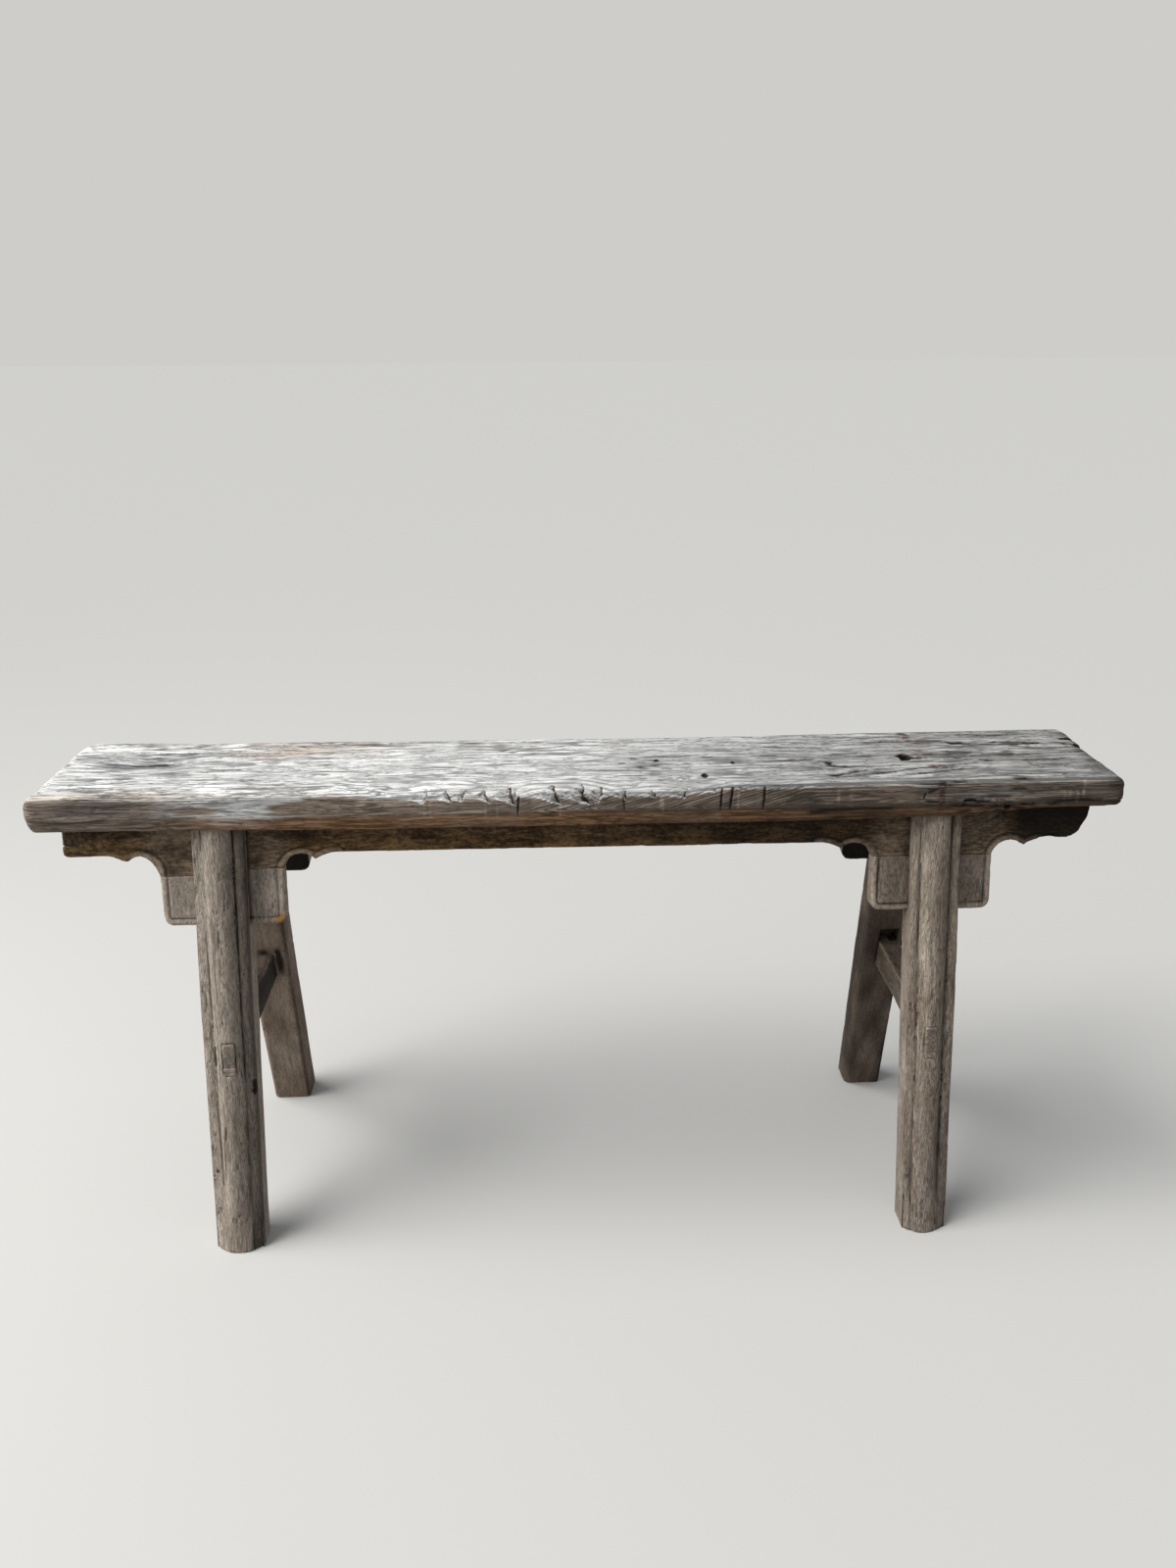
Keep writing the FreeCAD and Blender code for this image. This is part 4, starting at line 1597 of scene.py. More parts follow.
        # Painted shade on the right bead, on the side away from the light
        surface.masks[Mask.GRIME] += self.painted_bead_shade * ease(across, groove, groove + 0.05) * show
        stub = self.foot_wear * ease(self.joinery.height(surface.points), 64.0, 14.0)
        stub *= ease(y, 17.0, 13.0) * ease(np.abs(across), 0.99, 0.95)
        smooth = 0.5 + 12.0 * np.abs(across) ** 2.6
        surface.points[:, 1] += stub * (smooth - surface.points[:, 1])
        outer = self.hand * across
        surface.points[:, 0] += self.hand * self.slim * ease(-outer, 0.75, 1.0)
        surface.points[:, 0] += self.hand * self.swell * ease(outer, 0.6, 1.0) * ease(drop, 0.05, 0.4)

    def age(self, surface: Surface) -> None:
        """Leave the faces that were planed and sheltered smooth, the sole flat on the floor, and painted
        shade on the back legs' chamfer away from the light.

        Args:
            surface: The piece's surface.
        """
        surface.points[:, 2] -= np.minimum(self.joinery.height(surface.points), 0.0)
        super().age(surface)
        normals = surface.normals
        sheltered = ease(normals[:, 1], 0.1, 0.6) + 0.55 * ease(np.abs(normals[:, 0]), 0.75, 0.95)
        surface.masks[Mask.SMOOTH] += 0.5 * np.clip(sheltered, 0.0, 1.0)
        if self.side is Side.BACK:
            # Painted shade on the back legs' chamfer that faces away from the light
            arris = ease(-normals[:, 0], 0.3, 0.6) * ease(normals[:, 1], 0.15, 0.4)
            surface.masks[Mask.GRIME] += 0.45 * arris


@dataclass
class ShapedBoard(Timber):
    """A piece with the carved bead along its shaped edge."""

    side: Side = Side.FRONT
    bead: float = 7.0
    groove: float = 1.0
    groove_depth: float = 1.1
    inner_shade: float = 0.75
    seam_fall: float = 6.5
    edge_wear: float = 0.15

    def place(self) -> Matrix:
        """The leaning frame of the board's side."""
        return self.joinery.place(self.side)

    def edge_distance(self, points: np.ndarray) -> np.ndarray:
        """Distance in the board's plane from the nearest shaped edge.

        Args:
            points: Places in the leaning frame.

        Returns:
            Millimetres, one per place.
        """
        flat = points[:, [0, 2]]
        nearest = np.full(len(points), 1e6)
        for sign in (-1.0, 1.0):
            path = np.array(self.joinery.shaped_edge(sign))
            for start, end in zip(path[:-1], path[1:]):
                _, offset = from_line(flat, start, end)
                nearest = np.minimum(nearest, np.linalg.norm(offset, axis=1))
        return nearest

    def work(self, surface: Surface) -> None:
        """Carve the bead and the groove behind it into the show face, with dirt and painted shade in the
        groove and painted shadow beside the legs.

        Args:
            surface: The piece's surface.
        """
        joinery = self.joinery
        if self.side is Side.FRONT:
            self.lower_seam(surface)
        show = ease(surface.normals[:, 1], -0.2, -0.7)
        away = self.edge_distance(surface.points)
        wobble = 0.6 * cloud(surface.points, (30.0, 30.0, 30.0), self.seed + 9)
        worn = ease(cloud(surface.points, (45.0, 45.0, 45.0), self.seed + 10), -0.6, 0.1)
        line = np.exp(-(((away + wobble - self.bead) / self.groove) ** 2)) * show * (0.35 + 0.65 * worn)
        roundover = np.clip(1.0 - away / (0.5 * self.bead), 0.0, 1.0) ** 2 * show
        surface.push(-self.groove_depth * line - 1.3 * roundover)
        # Dirt and painted shade in the groove
        surface.masks[Mask.GRIME] += 0.35 * line
        rim = ease(away, self.bead - 1.0, self.bead - 4.0) * worn
        rim *= ease(surface.normals[:, 1], 0.5, 0.0)
        surface.masks[Mask.WEAR] += 0.45 * rim
        surface.masks[Mask.GRIME] -= 0.3 * rim
        # Painted shadow cast by each leg on the board beside it, stronger on the side away from the light
        beside = surface.points[:, 0] - np.sign(surface.points[:, 0]) * joinery.leg_spread
        shade = ease(np.abs(beside), 31.5, 26.5) * show
        surface.masks[Mask.GRIME] += np.where(beside > 0.0, 0.75, 0.2) * shade

    def lower_seam(self, surface: Surface) -> None:
        """Let the glue line fall outwards at the left leg, where the block was fitted askew.

        Args:
            surface: The piece's surface.
        """
        x, z = surface.points[:, 0], surface.points[:, 2]
        outer = -self.joinery.leg_spread - self.joinery.spandrel_half
        share = ease(x, outer + 92.0, outer + 38.0) * ease(x, outer - 22.0, outer - 2.0)
        surface.points[:, 2] -= self.seam_fall * share * bell(z, -self.joinery.seam_drop, 14.0)

    def age(self, surface: Surface) -> None:
        """Paint shade on the faces under the seat."""
        super().age(surface)
        # Painted shade on the faces that look in under the seat
        surface.masks[Mask.GRIME] += self.inner_shade * ease(surface.normals[:, 1], 0.2, 0.7)

    def erode(self, surface: Surface) -> None:
        """Dull the face with dents and pits.

        Args:
            surface: The piece's surface.
        """
        grain = surface.grain
        fine = 0.2 * cloud(grain, (60.0, 5.0, 5.0), self.seed)
        surface.push(fine + 0.4 * cloud(grain, (90.0, 25.0, 25.0), self.seed + 1))
        pits = ease(cloud(grain, (6.0, 4.0, 4.0), self.seed + 6), 0.6, 0.95)
        pits *= ease(cloud(grain, (40.0, 30.0, 30.0), self.seed + 7), 0.0, 0.5)
        surface.push(-0.6 * pits)
        surface.masks[Mask.GRIME] += 0.2 * pits
        nibble = np.clip(cloud(grain, (16.0, 10.0, 10.0), self.seed + 2) - 0.25, 0.0, 1.0)
        surface.push(-1.4 * nibble * ease(surface.relief(12), 0.1, 0.5))


@dataclass
class Apron(ShapedBoard):
    """The long board under one edge of the seat, arched beside each leg."""

    square_round: float = 5.0
    loose_round: float = 22.0
    tongue_depth: float = 18.0
    open_laps: tuple[float, ...] = ()
    overrun: float = 5.0
    grid: float = 1.35
    grain_order: tuple[int, int, int] = (0, 2, 1)

    def shape(self) -> bpy.types.Object:
        """Fill the outline, extrude it, bevel its top and notch its ends.

        Returns:
            The sound piece.
        """
        joinery = self.joinery
        end, low = joinery.apron_end, -joinery.apron_drop
        top = joinery.apron_depth * joinery.slope
        square, loose = self.square_round, self.loose_round
        outline = [(-end, top), (-end, low + square)]
        outline += bulge(outline[-1], (square - end, low), -CORNER_RISE * square, 4)
        for middle in (-joinery.leg_spread, joinery.leg_spread):
            outward = joinery.apron_curve(-1.0)
            inward = list(reversed(joinery.apron_curve(1.0)))
            outline += [(middle + x, z) for x, z in outward + inward]
        outline.append((end - loose, low))
        outline += bulge(outline[-1], (end, low + loose), -CORNER_RISE * loose, 8) + [(end, top)]
        obj = add_board(self.node, outline, joinery.cheek_depth, joinery.apron_depth)
        points = read(obj.data.vertices, "co", 3)
        at_top = points[:, 2] > top - 0.01
        points[at_top, 2] = points[at_top, 1] * joinery.slope
        set_points(obj, points)
        for sign in self.open_laps:
            near, far = sorted((sign * (end - self.tongue_depth - joinery.play), sign * (end + OVERSHOOT)))
            floor = -joinery.tongue_top - joinery.tongue_height - joinery.play
            carve(obj, (near, joinery.cheek_depth - OVERSHOOT, floor),
                  (far, joinery.apron_depth + OVERSHOOT, joinery.play - joinery.tongue_top))
        even_out(obj, self.grid)
        return obj

    def work(self, surface: Surface) -> None:
        """Carve the bead, and let the loose end lean out towards the seat.

        Args:
            surface: The piece's surface.
        """
        super().work(surface)
        x, z = surface.points[:, 0], surface.points[:, 2]
        loose = ease(x, self.joinery.apron_end - 24.0, self.joinery.apron_end) * ease(z, -24.0, 0.0)
        surface.points[:, 0] += self.overrun * loose

    def age(self, surface: Surface) -> None:
        """Leave the lower edge warmer than the sheltered top, paint the seat's shadow along the top, and
        darken the right part with darker wood and painted shade.

        Args:
            surface: The piece's surface.
        """
        super().age(surface)
        depth = -surface.points[:, 2]
        beside = np.abs(np.abs(surface.points[:, 0]) - self.joinery.leg_spread)
        ragged = 14.0 * cloud(surface.points, (30.0, 30.0, 30.0), self.seed + 16)
        open_part = ease(beside + ragged, 62.0, 104.0)
        surface.masks[Mask.BLEACH] += 0.5 * (1.0 - open_part)
        surface.masks[Mask.WARM] += 0.3 * (1.0 - open_part)
        surface.masks[Mask.WARM] += 0.6 * ease(depth, 10.0, 30.0) * open_part
        # Painted shadow of the seat along the top of the open stretches
        surface.masks[Mask.GRIME] += 0.3 * ease(depth, 14.0, 2.0) * open_part
        # Darker towards the right and at the right end: partly darker wood, partly painted shade
        along = surface.points[:, 0] * self.side.sign
        surface.masks[Mask.GRIME] += 0.62 * ease(along, -60.0, 230.0) * (0.2 + 0.8 * open_part)
        surface.masks[Mask.GRIME] += 0.32 * ease(along, 425.0, 470.0)


@dataclass
class Spandrel(ShapedBoard):
    """The block glued under the apron about a leg."""

    end: End = End.LEFT
    grid: float = 1.1
    grain_order: tuple[int, int, int] = (2, 0, 1)

    def shape(self) -> bpy.types.Object:
        """Fill the outline and extrude it.

        Returns:
            The sound piece.
        """
        joinery = self.joinery
        middle = self.end.sign * self.side.sign * joinery.leg_spread
        left = [(-joinery.spandrel_half, -joinery.seam_drop - joinery.play)] + joinery.block_corner()
        corners = left + [(-x, z) for x, z in reversed(left)]
        outline = [(middle + x, z) for x, z in corners]
        obj = add_board(self.node, outline, joinery.cheek_depth, joinery.apron_depth)
        even_out(obj, self.grid)
        return obj


@dataclass
class Stretcher(Timber):
    """A rail from a front leg to a back leg, tenoned through both."""

    end: End = End.LEFT
    tenon_rise: float = 8.0
    tenon_draw: float = 40.0
    shoulder_bite: float = 1.0
    grid: float = 1.3
    grain_order: tuple[int, int, int] = (1, 0, 2)

    @staticmethod
    def tenon_box(end: End) -> tuple[np.ndarray, np.ndarray]:
        """Box of the tenon and its wedge where they pass through the legs.

        Args:
            end: An end of the bench.

        Returns:
            Lowest and highest corner.
        """
        low, high = node_box(f"front_{end.value}_wedge")
        rail_low, rail_high = node_box(f"{end.value}_stretcher")
        return np.array((low[0], rail_low[1], low[2])), np.array((high[0], rail_high[1], rail_high[2]))

    def shoulder(self, level: float) -> float:
        """How far the legs' inner faces stand from the middle at a level above the floor."""
        thickness = self.joinery.leg_depth / math.cos(self.joinery.splay)
        return self.joinery.face_at(level) - thickness + self.shoulder_bite

    def shape(self) -> bpy.types.Object:
        """A rail whose end faces are bisected and extruded into tenons.

        Returns:
            The sound piece.
        """
        low, high = node_box(self.node)
        tenon_low, tenon_high = self.tenon_box(self.end)
        floor = float(low[2]) + self.tenon_rise
        reach = self.shoulder(floor)
        obj = add_block(self.node, (low[0], -reach, low[2]), (high[0], reach, high[2]))
        planes = (((tenon_low[0], 0, 0), (1, 0, 0)), ((tenon_high[0], 0, 0), (1, 0, 0)),
                  ((0, 0, floor), (0, 0, 1)))
        with editing(obj):
            for place, facing in planes:
                bpy.ops.mesh.select_all(action="SELECT")
                bpy.ops.mesh.bisect(plane_co=place, plane_no=facing)
        for sign in (-1.0, 1.0):
            self.draw_tenon(obj, sign, tenon_low, tenon_high, floor)
        points = read(obj.data.vertices, "co", 3)
        for point in points:
            at_tenon = abs(point[1]) > reach + 1.0
            limit = self.joinery.face_at(point[2]) if at_tenon else self.shoulder(point[2])
            point[1] = math.copysign(limit, point[1])
        set_points(obj, points)
        even_out(obj, self.grid)
        return obj

    def age(self, surface: Surface) -> None:
        """Weather the tenons' ends as the legs' faces are, clear dirt and painted shade off them, and keep
        the painted shade on the rail.

        Args:
            surface: The piece's surface.
        """
        super().age(surface)
        out = ease(np.abs(surface.points[:, 1]), 100.0, 110.0)
        surface.masks[Mask.GRIME] *= 1.0 - 0.9 * out
        surface.masks[Mask.BLEACH] += 0.3 * out
        surface.masks[Mask.SMOOTH] += 0.6 * (1.0 - out)

    def draw_tenon(self, obj: bpy.types.Object, sign: float, low: np.ndarray, high: np.ndarray,
                   floor: float) -> None:
        """Extrude the tenon's part of one end face.

        Args:
            obj: The rail.
            sign: Which end.
            low: Lowest corner of the tenon's box.
            high: Highest corner of the tenon's box.
            floor: Level of the tenon's underside.
        """
        mesh = obj.data
        centres, normals = read(mesh.polygons, "center", 3), read(mesh.polygons, "normal", 3)
        chosen = (normals[:, 1] * sign > 0.9) & (centres[:, 2] > floor)
        chosen &= (centres[:, 0] > low[0]) & (centres[:, 0] < high[0])
        choose(obj, "polygons", chosen)
        with editing(obj):
            step = (0.0, sign * self.tenon_draw, 0.0)
            bpy.ops.mesh.extrude_region_move(TRANSFORM_OT_translate={"value": step})


@dataclass
class Wedge(Timber):
    """The wedge under a stretcher's through tenon."""

    side: Side = Side.FRONT
    taper: float = 4.0
    grid: float = 0.7
    grain_order: tuple[int, int, int] = (1, 0, 2)

    def shape(self) -> bpy.types.Object:
        """A block whose inner end is thinned from below and whose outer end follows the leg's face.

        Returns:
            The sound piece.
        """
        low, high = node_box(self.node)
        obj = add_block(self.node, tuple(low), tuple(high))
        points = read(obj.data.vertices, "co", 3)
        outer = -self.side.sign
        length = high[1] - low[1]
        for point in points:
            inner = abs(point[1] - (low[1] if outer < 0 else high[1])) > length / 2.0
            if inner and point[2] < high[2] - 1.0:
                point[2] += self.taper
            if not inner:
                point[1] = outer * self.joinery.face_at(point[2])
        set_points(obj, points)
        even_out(obj, self.grid)
        return obj


@dataclass
class EndBoard(Timber):
    """The short board that closes one end between the aprons, its tongues lapped into their ends."""

    end: End = End.LEFT
    tongue_set: float = 1.5
    trim: float = 0.0
    grid: float = 1.3

    def work(self, surface: Surface) -> None:
        """Round the lower outer edge as the apron's loose end is rounded.

        Args:
            surface: The piece's surface.
        """
        outward = -self.end.sign * surface.points[:, 1]
        over = np.clip(outward - self.joinery.apron_end + self.trim, 0.0, self.trim)
        floor = surface.points[:, 2].min() + self.trim - np.sqrt(self.trim ** 2 - over ** 2)
        surface.points[:, 2] = np.maximum(surface.points[:, 2], floor)

    def place(self) -> Matrix:
        """Turned so that the outline's x runs across the bench."""
        return Matrix.Scale(MM, 4) @ Matrix.Rotation(math.pi / 2.0, 4, "Z")

    def spot(self, depth: float, rise: float) -> Point:
        """A place of the leaning frame as its distance from the middle and its level.

        Args:
            depth: Depth behind the crest.
            rise: Rise along the leg.

        Returns:
            The distance and the level.
        """
        joinery = self.joinery
        lean, upright = math.sin(joinery.splay), math.cos(joinery.splay)
        reach = joinery.leg_reach - depth * upright - rise * lean
        return (reach, joinery.underside - depth * lean + rise * upright)

    def shape(self) -> bpy.types.Object:
        """Fill the outline with its two tongues and extrude it.

        Returns:
            The sound piece.
        """
        low, high = node_box(self.node)
        joinery = self.joinery
        back, face = joinery.apron_depth, joinery.cheek_depth + self.tongue_set
        roof, floor = -joinery.tongue_top, -joinery.tongue_top - joinery.tongue_height
        bottom = (low[2] - joinery.underside + back * math.sin(joinery.splay)) / math.cos(joinery.splay)
        rises = [(back, bottom), (back, floor), (face, floor), (face, roof), (back, roof),
                 (back, back * joinery.slope)]
        half = [self.spot(depth, rise) for depth, rise in rises]
        outline = half + [(-y, z) for y, z in reversed(half)]
        obj = add_board(self.node, outline, -high[0], -low[0])
        even_out(obj, self.grid)
        return obj


# The bench

# Levels of the seat's top and of the floor of its checks, and the y of its front face
SEAT_TOP = 510.0
CHECK_LEVEL = 509.0
SEAT_FRONT = -82.0
CHECK_WIDTH = 1.25
CHECK_WANDER = 1.1

# Start, end and depth of each flake along the front edge
SEAT_CHIPS = tuple(Chip(*row) for row in (
    (-176.0, -151.0, 9.0), (-150.0, -136.0, 9.0), (-134.0, -128.0, 6.0), (-128.0, -113.0, 9.0),
    (-112.0, -98.0, 10.0), (-96.0, -72.0, 13.0), (-71.0, -61.0, 9.0), (-56.0, -26.0, 13.0),
    (-26.0, 3.0, 15.0), (4.0, 27.0, 12.0), (27.0, 45.0, 10.0), (58.0, 72.0, 8.0), (83.0, 114.0, 9.0),
    (117.0, 137.0, 7.0), (146.0, 166.0, 6.0), (186.0, 236.0, 4.0), (268.0, 330.0, 3.0)))

# Saw cuts in the front edge, then nicks in the left end and scratches beside the right leg
SAW_CUTS = (Crack((-60.5, -80.0, 514.0), (-62.5, -82.0, 482.0), 0.9, 2.4, 1.2),
            Crack((44.5, -80.0, 514.0), (46.5, -82.0, 487.0), 0.8, 2.0, 1.2),
            Crack((147.0, -80.0, 518.0), (144.0, -82.0, 483.0), 0.9, 2.8, 0.8),
            Crack((157.0, -80.0, 518.0), (154.0, -82.0, 483.0), 1.1, 2.8, 0.8),
            Crack((189.5, -80.0, 518.0), (187.5, -82.0, 484.0), 0.9, 2.6, 0.8),
            Crack((-566.0, -60.0, 500.0), (-564.0, -58.0, 490.0), 1.0, 1.6, 1.0),
            Crack((-566.0, -48.0, 503.0), (-564.0, -46.0, 492.0), 1.0, 1.6, 1.0),
            Crack((366.0, -82.0, 502.0), (356.0, -82.0, 499.0), 0.8, 1.2, 2.0),
            Crack((355.5, -82.0, 499.0), (354.0, -82.0, 491.0), 0.8, 1.2, 2.0),
            Crack((355.0, -82.0, 490.5), (368.0, -82.0, 488.5), 0.9, 1.6, 2.0))

# Start and end in x and y, and depth, of each check in the top
SEAT_CHECKS = tuple(
    Crack((*start, CHECK_LEVEL), (*end, CHECK_LEVEL), CHECK_WIDTH, depth, CHECK_WANDER)
    for start, end, depth in (
        ((250.0, -66.0), (428.0, -24.0), 2.6), ((326.0, -62.0), (426.0, -40.0), 2.2),
        ((412.0, -2.0), (558.0, 7.0), 3.0), ((452.0, 40.0), (562.0, 32.0), 3.2),
        ((430.0, 64.0), (506.0, 60.0), 2.6), ((440.0, -22.0), (532.0, -13.0), 2.4),
        ((-384.0, 52.0), (-330.0, 50.0), 2.0), ((-470.0, 8.0), (-426.0, 16.0), 1.8),
        ((-404.0, -12.0), (-358.0, -4.0), 1.8), ((-486.0, 46.0), (-440.0, 47.0), 1.8)))

SEAT_DENTS = (Dent((355.0, -3.0, SEAT_TOP), (6.5, 7.5, 9.0), 8.0),
              Dent((364.0, -8.0, SEAT_TOP), (9.0, 3.2, 8.0), 5.0),
              Dent((563.0, 26.0, 507.0), (12.0, 5.0, 8.0), 4.5),
              Dent((560.0, 46.0, 508.0), (14.0, 4.0, 8.0), 3.5),
              Dent((131.7, -45.9, SEAT_TOP), (3.0, 5.0, 6.0), 2.5),
              Dent((85.5, 1.0, SEAT_TOP), (3.0, 4.0, 6.0), 1.8),
              Dent((167.0, -9.0, SEAT_TOP), (2.5, 5.0, 6.0), 2.0),
              Dent((442.0, -80.0, 481.0), (3.2, 6.0, 3.0), 3.0),
              Dent((402.0, SEAT_FRONT, 489.5), (7.0, 6.0, 1.5), 2.2))

# How far up and down a patch on the top reaches
PATCH_HEIGHT = 20.0
RUST_HEIGHT = 12.0

# Mask, place and reach in x and y, and strength of each patch on the top
TOP_PATCHES = tuple(
    Patch(mask, (*place, SEAT_TOP), (*reach, RUST_HEIGHT if mask is Mask.RUST else PATCH_HEIGHT), strength)
    for mask, place, reach, strength in (
        (Mask.STAIN, (-458.0, 20.0), (62.0, 36.0), 0.9), (Mask.STAIN, (-446.0, 44.0), (30.0, 8.0), 1.6),
        (Mask.STAIN, (-470.0, 8.0), (34.0, 9.0), 1.7), (Mask.STAIN, (-436.0, 26.0), (28.0, 7.0), 1.6),
        (Mask.GRIME, (-462.0, 46.0), (14.0, 3.5), 0.8), (Mask.GRIME, (-452.0, 10.0), (18.0, 3.5), 0.8),
        (Mask.GRIME, (-376.0, 52.0), (10.0, 3.0), 0.9), (Mask.GRIME, (-388.0, -6.0), (12.0, 3.5), 0.8),
        (Mask.STAIN, (-330.0, -50.0), (40.0, 26.0), 0.35), (Mask.WARM, (-310.0, 54.0), (80.0, 26.0), 0.5),
        (Mask.RUST, (371.0, 66.0), (5.0, 26.0), 1.0), (Mask.RUST, (384.0, 38.0), (22.0, 5.5), 1.7),
        (Mask.RUST, (380.0, 4.0), (12.0, 12.0), 1.0), (Mask.RUST, (388.0, -36.0), (14.0, 6.5), 1.6)))

FRONT_PATCHES = (Patch(Mask.WEAR, (-488.0, -76.0, 508.0), (84.0, 13.0, 9.0), 0.85),
                 Patch(Mask.WEAR, (-562.0, -50.0, 500.0), (12.0, 34.0, 14.0), 0.7),
                 Patch(Mask.BLEACH, (-342.0, SEAT_FRONT, 495.0), (56.0, 16.0, 24.0), 1.8),
                 Patch(Mask.STAIN, (-492.0, SEAT_FRONT, 497.0), (46.0, 16.0, 12.0), 1.2),
                 Patch(Mask.BLEACH, (-424.0, SEAT_FRONT, 495.0), (38.0, 16.0, 13.0), 0.5),
                 Patch(Mask.BLEACH, (440.0, SEAT_FRONT, 496.0), (60.0, 16.0, 8.0), 0.4),
                 Patch(Mask.RUST, (372.0, SEAT_FRONT, 500.0), (3.0, 8.0, 17.0), 1.6),
                 Patch(Mask.WEAR, (364.5, SEAT_FRONT, 490.5), (2.5, 6.0, 2.5), 1.0))

# Place in x and z of each pale upright scratch on the front face
SCRATCHES = ((-152.0, 492.0), (-158.0, 494.0), (-96.0, 490.0), (-84.0, 492.0), (-20.0, 490.0), (83.0, 495.0),
             (85.0, 488.0), (162.0, 494.0), (266.0, 496.0), (278.0, 494.0), (493.0, 496.0), (499.0, 494.0),
             (506.0, 497.0), (513.0, 494.0), (519.0, 498.0))
SCRATCH_PATCHES = tuple(Patch(mask, (x, SEAT_FRONT, z), reach, strength) for x, z in SCRATCHES
                        for mask, reach, strength in ((Mask.WEAR, (1.1, 5.0, 9.0), 0.9),
                                                      (Mask.GRIME, (1.6, 5.0, 10.0), -0.6)))


def seat(joinery: Joinery) -> SeatPlank:
    """The seat plank with the marks that it carries."""
    patches = TOP_PATCHES + FRONT_PATCHES + SCRATCH_PATCHES
    return SeatPlank("seat_plank", 3, joinery, SEAT_WOOD, SAW_CUTS + SEAT_CHECKS, SEAT_DENTS, patches,
                     chips=SEAT_CHIPS)


def leg(joinery: Joinery, side: Side, end: End, seed: int) -> Leg:
    """One leg with the marks that it carries.

    Args:
        joinery: Shared sizes.
        side: Its long side of the bench.
        end: Its end of the bench.
        seed: Picks its grain.

    Returns:
        The leg, not yet built.
    """
    low, high = node_box(f"{end.value}_stretcher")
    roof = joinery.rise_at(high[2])
    piece = (f"{side.value}_{end.value}_leg", seed, joinery, LEG_WOOD)
    where = {"side": side, "end": end}
    if side is Side.BACK and end is End.LEFT:
        # Painted shadow in the joint above the stretcher
        gap = (Patch(Mask.GRIME, (380.0, 44.0, roof + 12.0), (16.0, 6.0, 7.0), 1.0),
               Patch(Mask.GRIME, (364.0, 44.0, roof - 4.0), (5.0, 6.0, 18.0), 0.9))
        return Leg(*piece, patches=gap, bleach=0.12, back_round=5.0, **where)
    if side is Side.BACK:
        hole = ((-high[0], joinery.leg_depth - 16.0, roof - 1.0),
                (-low[0], joinery.leg_depth + 8.0, roof + 18.0))
        # Painted shade on the back right leg, which stands in shadow
        return Leg(*piece, bleach=0.12, shade=0.72, back_round=5.0, old_mortise=hole, **where)
    if end is End.RIGHT:
        foot = (Patch(Mask.STAIN, (378.0, 6.0, -420.0), (50.0, 40.0, 150.0), 0.4),)
        return Leg(*piece, patches=foot, bleach=0.5, left_fade=(0.75, 0.5), right_fade=(0.0, 0.2), slim=0.5,
                   swell=2.0, pitted=1.6, foot_wear=0.85, painted_bead_shade=0.25, mortise_gap=0.1, **where)
    tenon_low, tenon_high = Stretcher.tenon_box(end)
    sill, edge = joinery.rise_at(tenon_low[2]), tenon_low[0] - 0.6
    cracks = (Crack((-386.5, 1.5, -330.0), (-389.5, 2.0, -354.0), 1.0, 1.6),
              Crack((-389.5, 2.0, -352.0), (-390.5, 2.5, -398.0), 0.9, 1.2),
              Crack((edge, 1.0, roof + 3.0), (edge, 1.0, sill - 1.0), 1.0, 0.8, 0.3),
              Crack((edge - 1.0, 1.0, roof + 0.5), (tenon_high[0], 1.0, roof + 0.5), 0.9, 0.6, 0.3))
    dents = (Dent((-353.0, 8.0, -288.0), (2.2, 6.0, 7.0), 2.0),)
    knots = (Knot((-362.0, 2.0, -48.0), 4.0),)
    return Leg(*piece, cracks, dents, knots=knots, bleach=0.8, left_fade=(0.9, 1.0), right_fade=(0.0, 0.3),
               slim=-2.5, swell=2.5, kick=6.0, painted_bead_shade=0.72, pitted=0.3, **where)


def side_pieces(joinery: Joinery, side: Side) -> list[Timber]:
    """The apron, the blocks and the legs of one long side.

    Args:
        joinery: Shared sizes.
        side: Which side.

    Returns:
        The pieces, not yet built.
    """
    front = side is Side.FRONT
    # Painted shade for the back side's pieces, which stand in shadow
    step, painted_back_shade = (0, 0.0) if front else (40, 0.3)
    chip = (Dent((501.0, 20.0, -31.0), (11.0, 10.0, 4.5), 3.0),) if front else ()
    gold = (Patch(Mask.WARM, (-320.0, 20.0, -105.0), (11.0, 12.0, 6.0), 1.0),) if front else ()
    laps = (-1.0,) if front else ()
    apron = Apron(f"{side.value}_apron", 11 + step, joinery, APRON_WOOD, dents=chip, bleach=0.0,
                  shade=painted_back_shade, side=side, open_laps=laps)
    pieces: list[Timber] = [apron]
    for index, end in enumerate(End):
        name = f"{side.value}_{end.value}"
        # The left block is paler, partly its wood and partly painted light where the lamp falls; the right
        # block gets painted shade
        marks, bleach, shade = (gold, 0.72, painted_back_shade) if end is End.LEFT else ((), 0.1, painted_back_shade + 0.26)
        pieces.append(Spandrel(f"{name}_spandrel", 13 + step + index, joinery, SPANDREL_WOOD, patches=marks,
                               bleach=bleach, shade=shade, side=side, end=end))
        pieces.append(leg(joinery, side, end, 17 + step + index))
        pieces.append(Wedge(f"{name}_wedge", 23 + step + index, joinery, WEDGE_WOOD, side=side))
    return pieces


# The studio

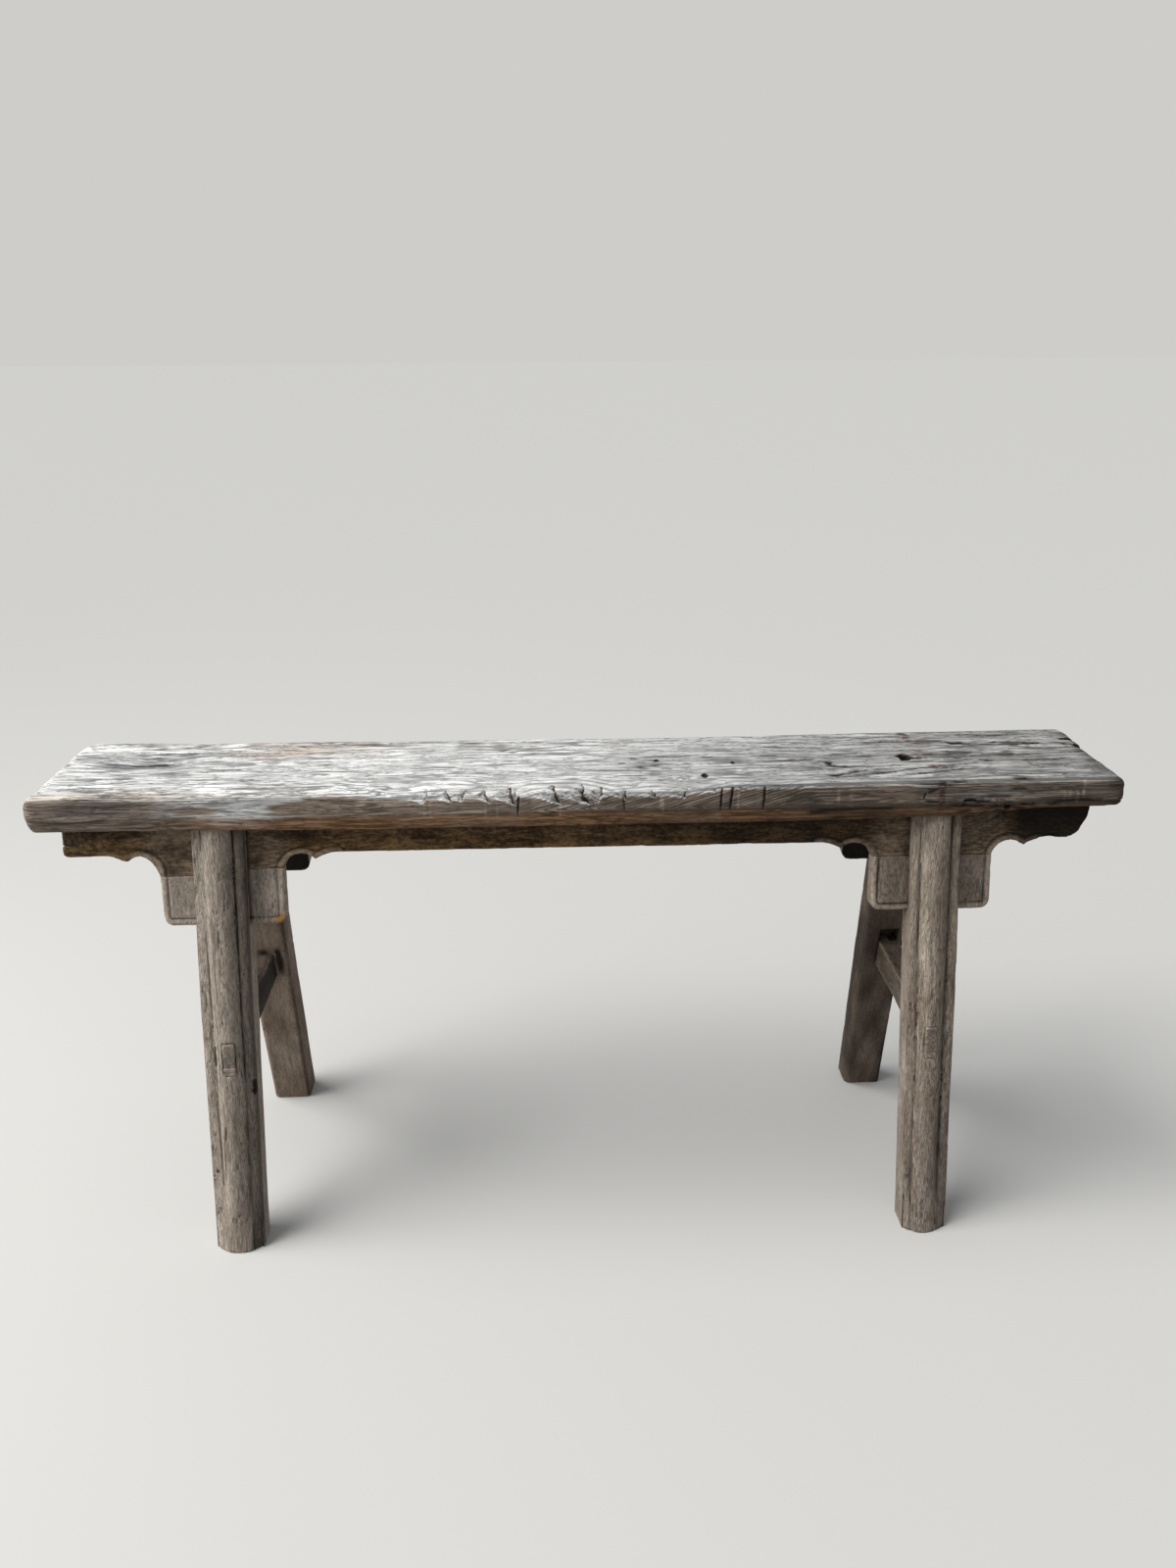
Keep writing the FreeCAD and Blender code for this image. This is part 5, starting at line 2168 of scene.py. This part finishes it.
@dataclass(frozen=True)
class Studio:
    """The pale floor, the soft light and the camera at the photograph's viewing angle."""

    eye: Place = (-0.02552, -1.19042, 0.95193)
    pitch: float = math.radians(21.4765)
    yaw: float = math.radians(1.7643)
    roll: float = math.radians(-0.4093)
    focal_pixels: float = 1202.0
    frame_height: float = 1600.0
    sensor: float = 36.0
    floor_size: float = 60.0
    key_from: Place = (-0.58, -0.12, 0.8)
    key_strength: float = 2.8
    key_spread: float = math.radians(45.0)
    key_colour: Place = (1.0, 0.985, 0.965)
    side_from: Place = (-1.9, -0.5, 1.2)
    side_aim: Place = (0.0, 0.0, 0.4)
    side_size: float = 1.2
    side_power: float = 16.0
    side_colour: Place = (1.0, 0.99, 0.97)
    surround: float = 0.34
    surround_colour: Colour = (0.92, 0.96, 1.0, 1.0)
    pale: Colour = srgb(206, 205, 202)
    dim: Colour = srgb(146, 144, 140)

    def build(self) -> None:
        """Set the floor, the light and the camera."""
        self.lay_floor()
        self.light()
        self.aim_camera()
        bpy.context.scene.view_settings.view_transform = "Standard"

    def lay_floor(self) -> None:
        """A wide pale floor."""
        deselect()
        bpy.ops.mesh.primitive_plane_add(size=self.floor_size)
        floor = bpy.context.object
        floor.name = "floor"
        sheet = NodeSheet("floor")
        path = sheet.add("ShaderNodeLightPath", {})
        seen = sheet.most(path.outputs["Is Camera Ray"], path.outputs["Is Glossy Ray"])
        seen = sheet.most(seen, path.outputs["Is Transmission Ray"])
        sheet.feed(sheet.shader.inputs["Base Color"], sheet.mix(seen, self.dim, self.pale))
        sheet.shader.inputs["Roughness"].default_value = 0.9
        floor.data.materials.append(sheet.material)

    def light(self) -> None:
        """A broad soft light from high on the left, a weaker one beside it, and an even surround."""
        key = bpy.data.lights.new("key", "SUN")
        key.energy = self.key_strength
        key.angle = self.key_spread
        key.color = self.key_colour
        self.hang(key, self.key_from, (0.0, 0.0, 0.0))
        side = bpy.data.lights.new("side", "AREA")
        side.energy = self.side_power
        side.size = self.side_size
        side.color = self.side_colour
        self.hang(side, self.side_from, self.side_aim)
        world = bpy.data.worlds.new("surround")
        bpy.context.scene.world = world
        world.use_nodes = True
        tree = world.node_tree
        even = tree.nodes["Background"]
        even.inputs["Color"].default_value = self.surround_colour
        even.inputs["Strength"].default_value = self.surround
        seen = tree.nodes.new("ShaderNodeBackground")
        seen.inputs["Color"].default_value = self.pale
        path = tree.nodes.new("ShaderNodeLightPath")
        mix = tree.nodes.new("ShaderNodeMixShader")
        for number, output in enumerate((path.outputs["Is Camera Ray"], even.outputs[0], seen.outputs[0])):
            tree.links.new(output, mix.inputs[number])
        tree.links.new(mix.outputs[0], tree.nodes["World Output"].inputs[0])

    def hang(self, lamp: bpy.types.Light, place: Place, target: Place) -> None:
        """Hang a lamp at a place and aim it.

        Args:
            lamp: The lamp.
            place: Where it hangs.
            target: Where it points.
        """
        obj = bpy.data.objects.new(lamp.name, lamp)
        bpy.context.scene.collection.objects.link(obj)
        obj.location = place
        obj.rotation_euler = (Vector(target) - Vector(place)).to_track_quat("-Z", "Y").to_euler()

    def aim_camera(self) -> None:
        """Stand the camera where the photograph was taken."""
        ahead = Vector((math.sin(self.yaw) * math.cos(self.pitch), math.cos(self.yaw) * math.cos(self.pitch),
                        -math.sin(self.pitch)))
        level = Vector((math.cos(self.yaw), -math.sin(self.yaw), 0.0))
        upward = level.cross(ahead)
        right = math.cos(self.roll) * level + math.sin(self.roll) * upward
        top = math.cos(self.roll) * upward - math.sin(self.roll) * level
        camera = bpy.data.cameras.new("camera")
        camera.sensor_fit = "AUTO"
        camera.sensor_width = self.sensor
        camera.lens = self.sensor * self.focal_pixels / self.frame_height
        obj = bpy.data.objects.new("camera", camera)
        bpy.context.scene.collection.objects.link(obj)
        pose = Matrix((right, top, -ahead)).transposed().to_4x4()
        pose.translation = Vector(self.eye)
        obj.matrix_world = pose
        bpy.context.scene.camera = obj


def main() -> None:
    """Build the bench piece by piece, then the studio around it."""
    logging.basicConfig(level=logging.INFO, format="%(name)s: %(message)s")
    joinery = joinery_from_frame()
    finishes = (SEAT_WOOD, APRON_WOOD, SPANDREL_WOOD, LEG_WOOD, STRETCHER_WOOD, WEDGE_WOOD)
    materials = {finish.slot: AgedWood(finish).build() for finish in finishes}
    pieces: list[Timber] = [seat(joinery)]
    for side in Side:
        pieces += side_pieces(joinery, side)
    for index, end in enumerate(End):
        # Painted shade on the rails, heaviest on the left one in the bench's shadow
        pieces.append(Stretcher(f"{end.value}_stretcher", 91 + index, joinery, STRETCHER_WOOD, bleach=0.2,
                                shade=0.78 if end is End.LEFT else 0.22, end=end))
        # Painted shade on the end boards under the seat
        pieces.append(EndBoard(f"{end.value}_end_board", 95 + index, joinery, APRON_WOOD, bleach=0.0,
                               shade=0.6, trim=0.0 if end is End.LEFT else 22.0, end=end))
    for piece in pieces:
        piece.build(materials)
    Studio().build()


if __name__ == "__main__":
    main()
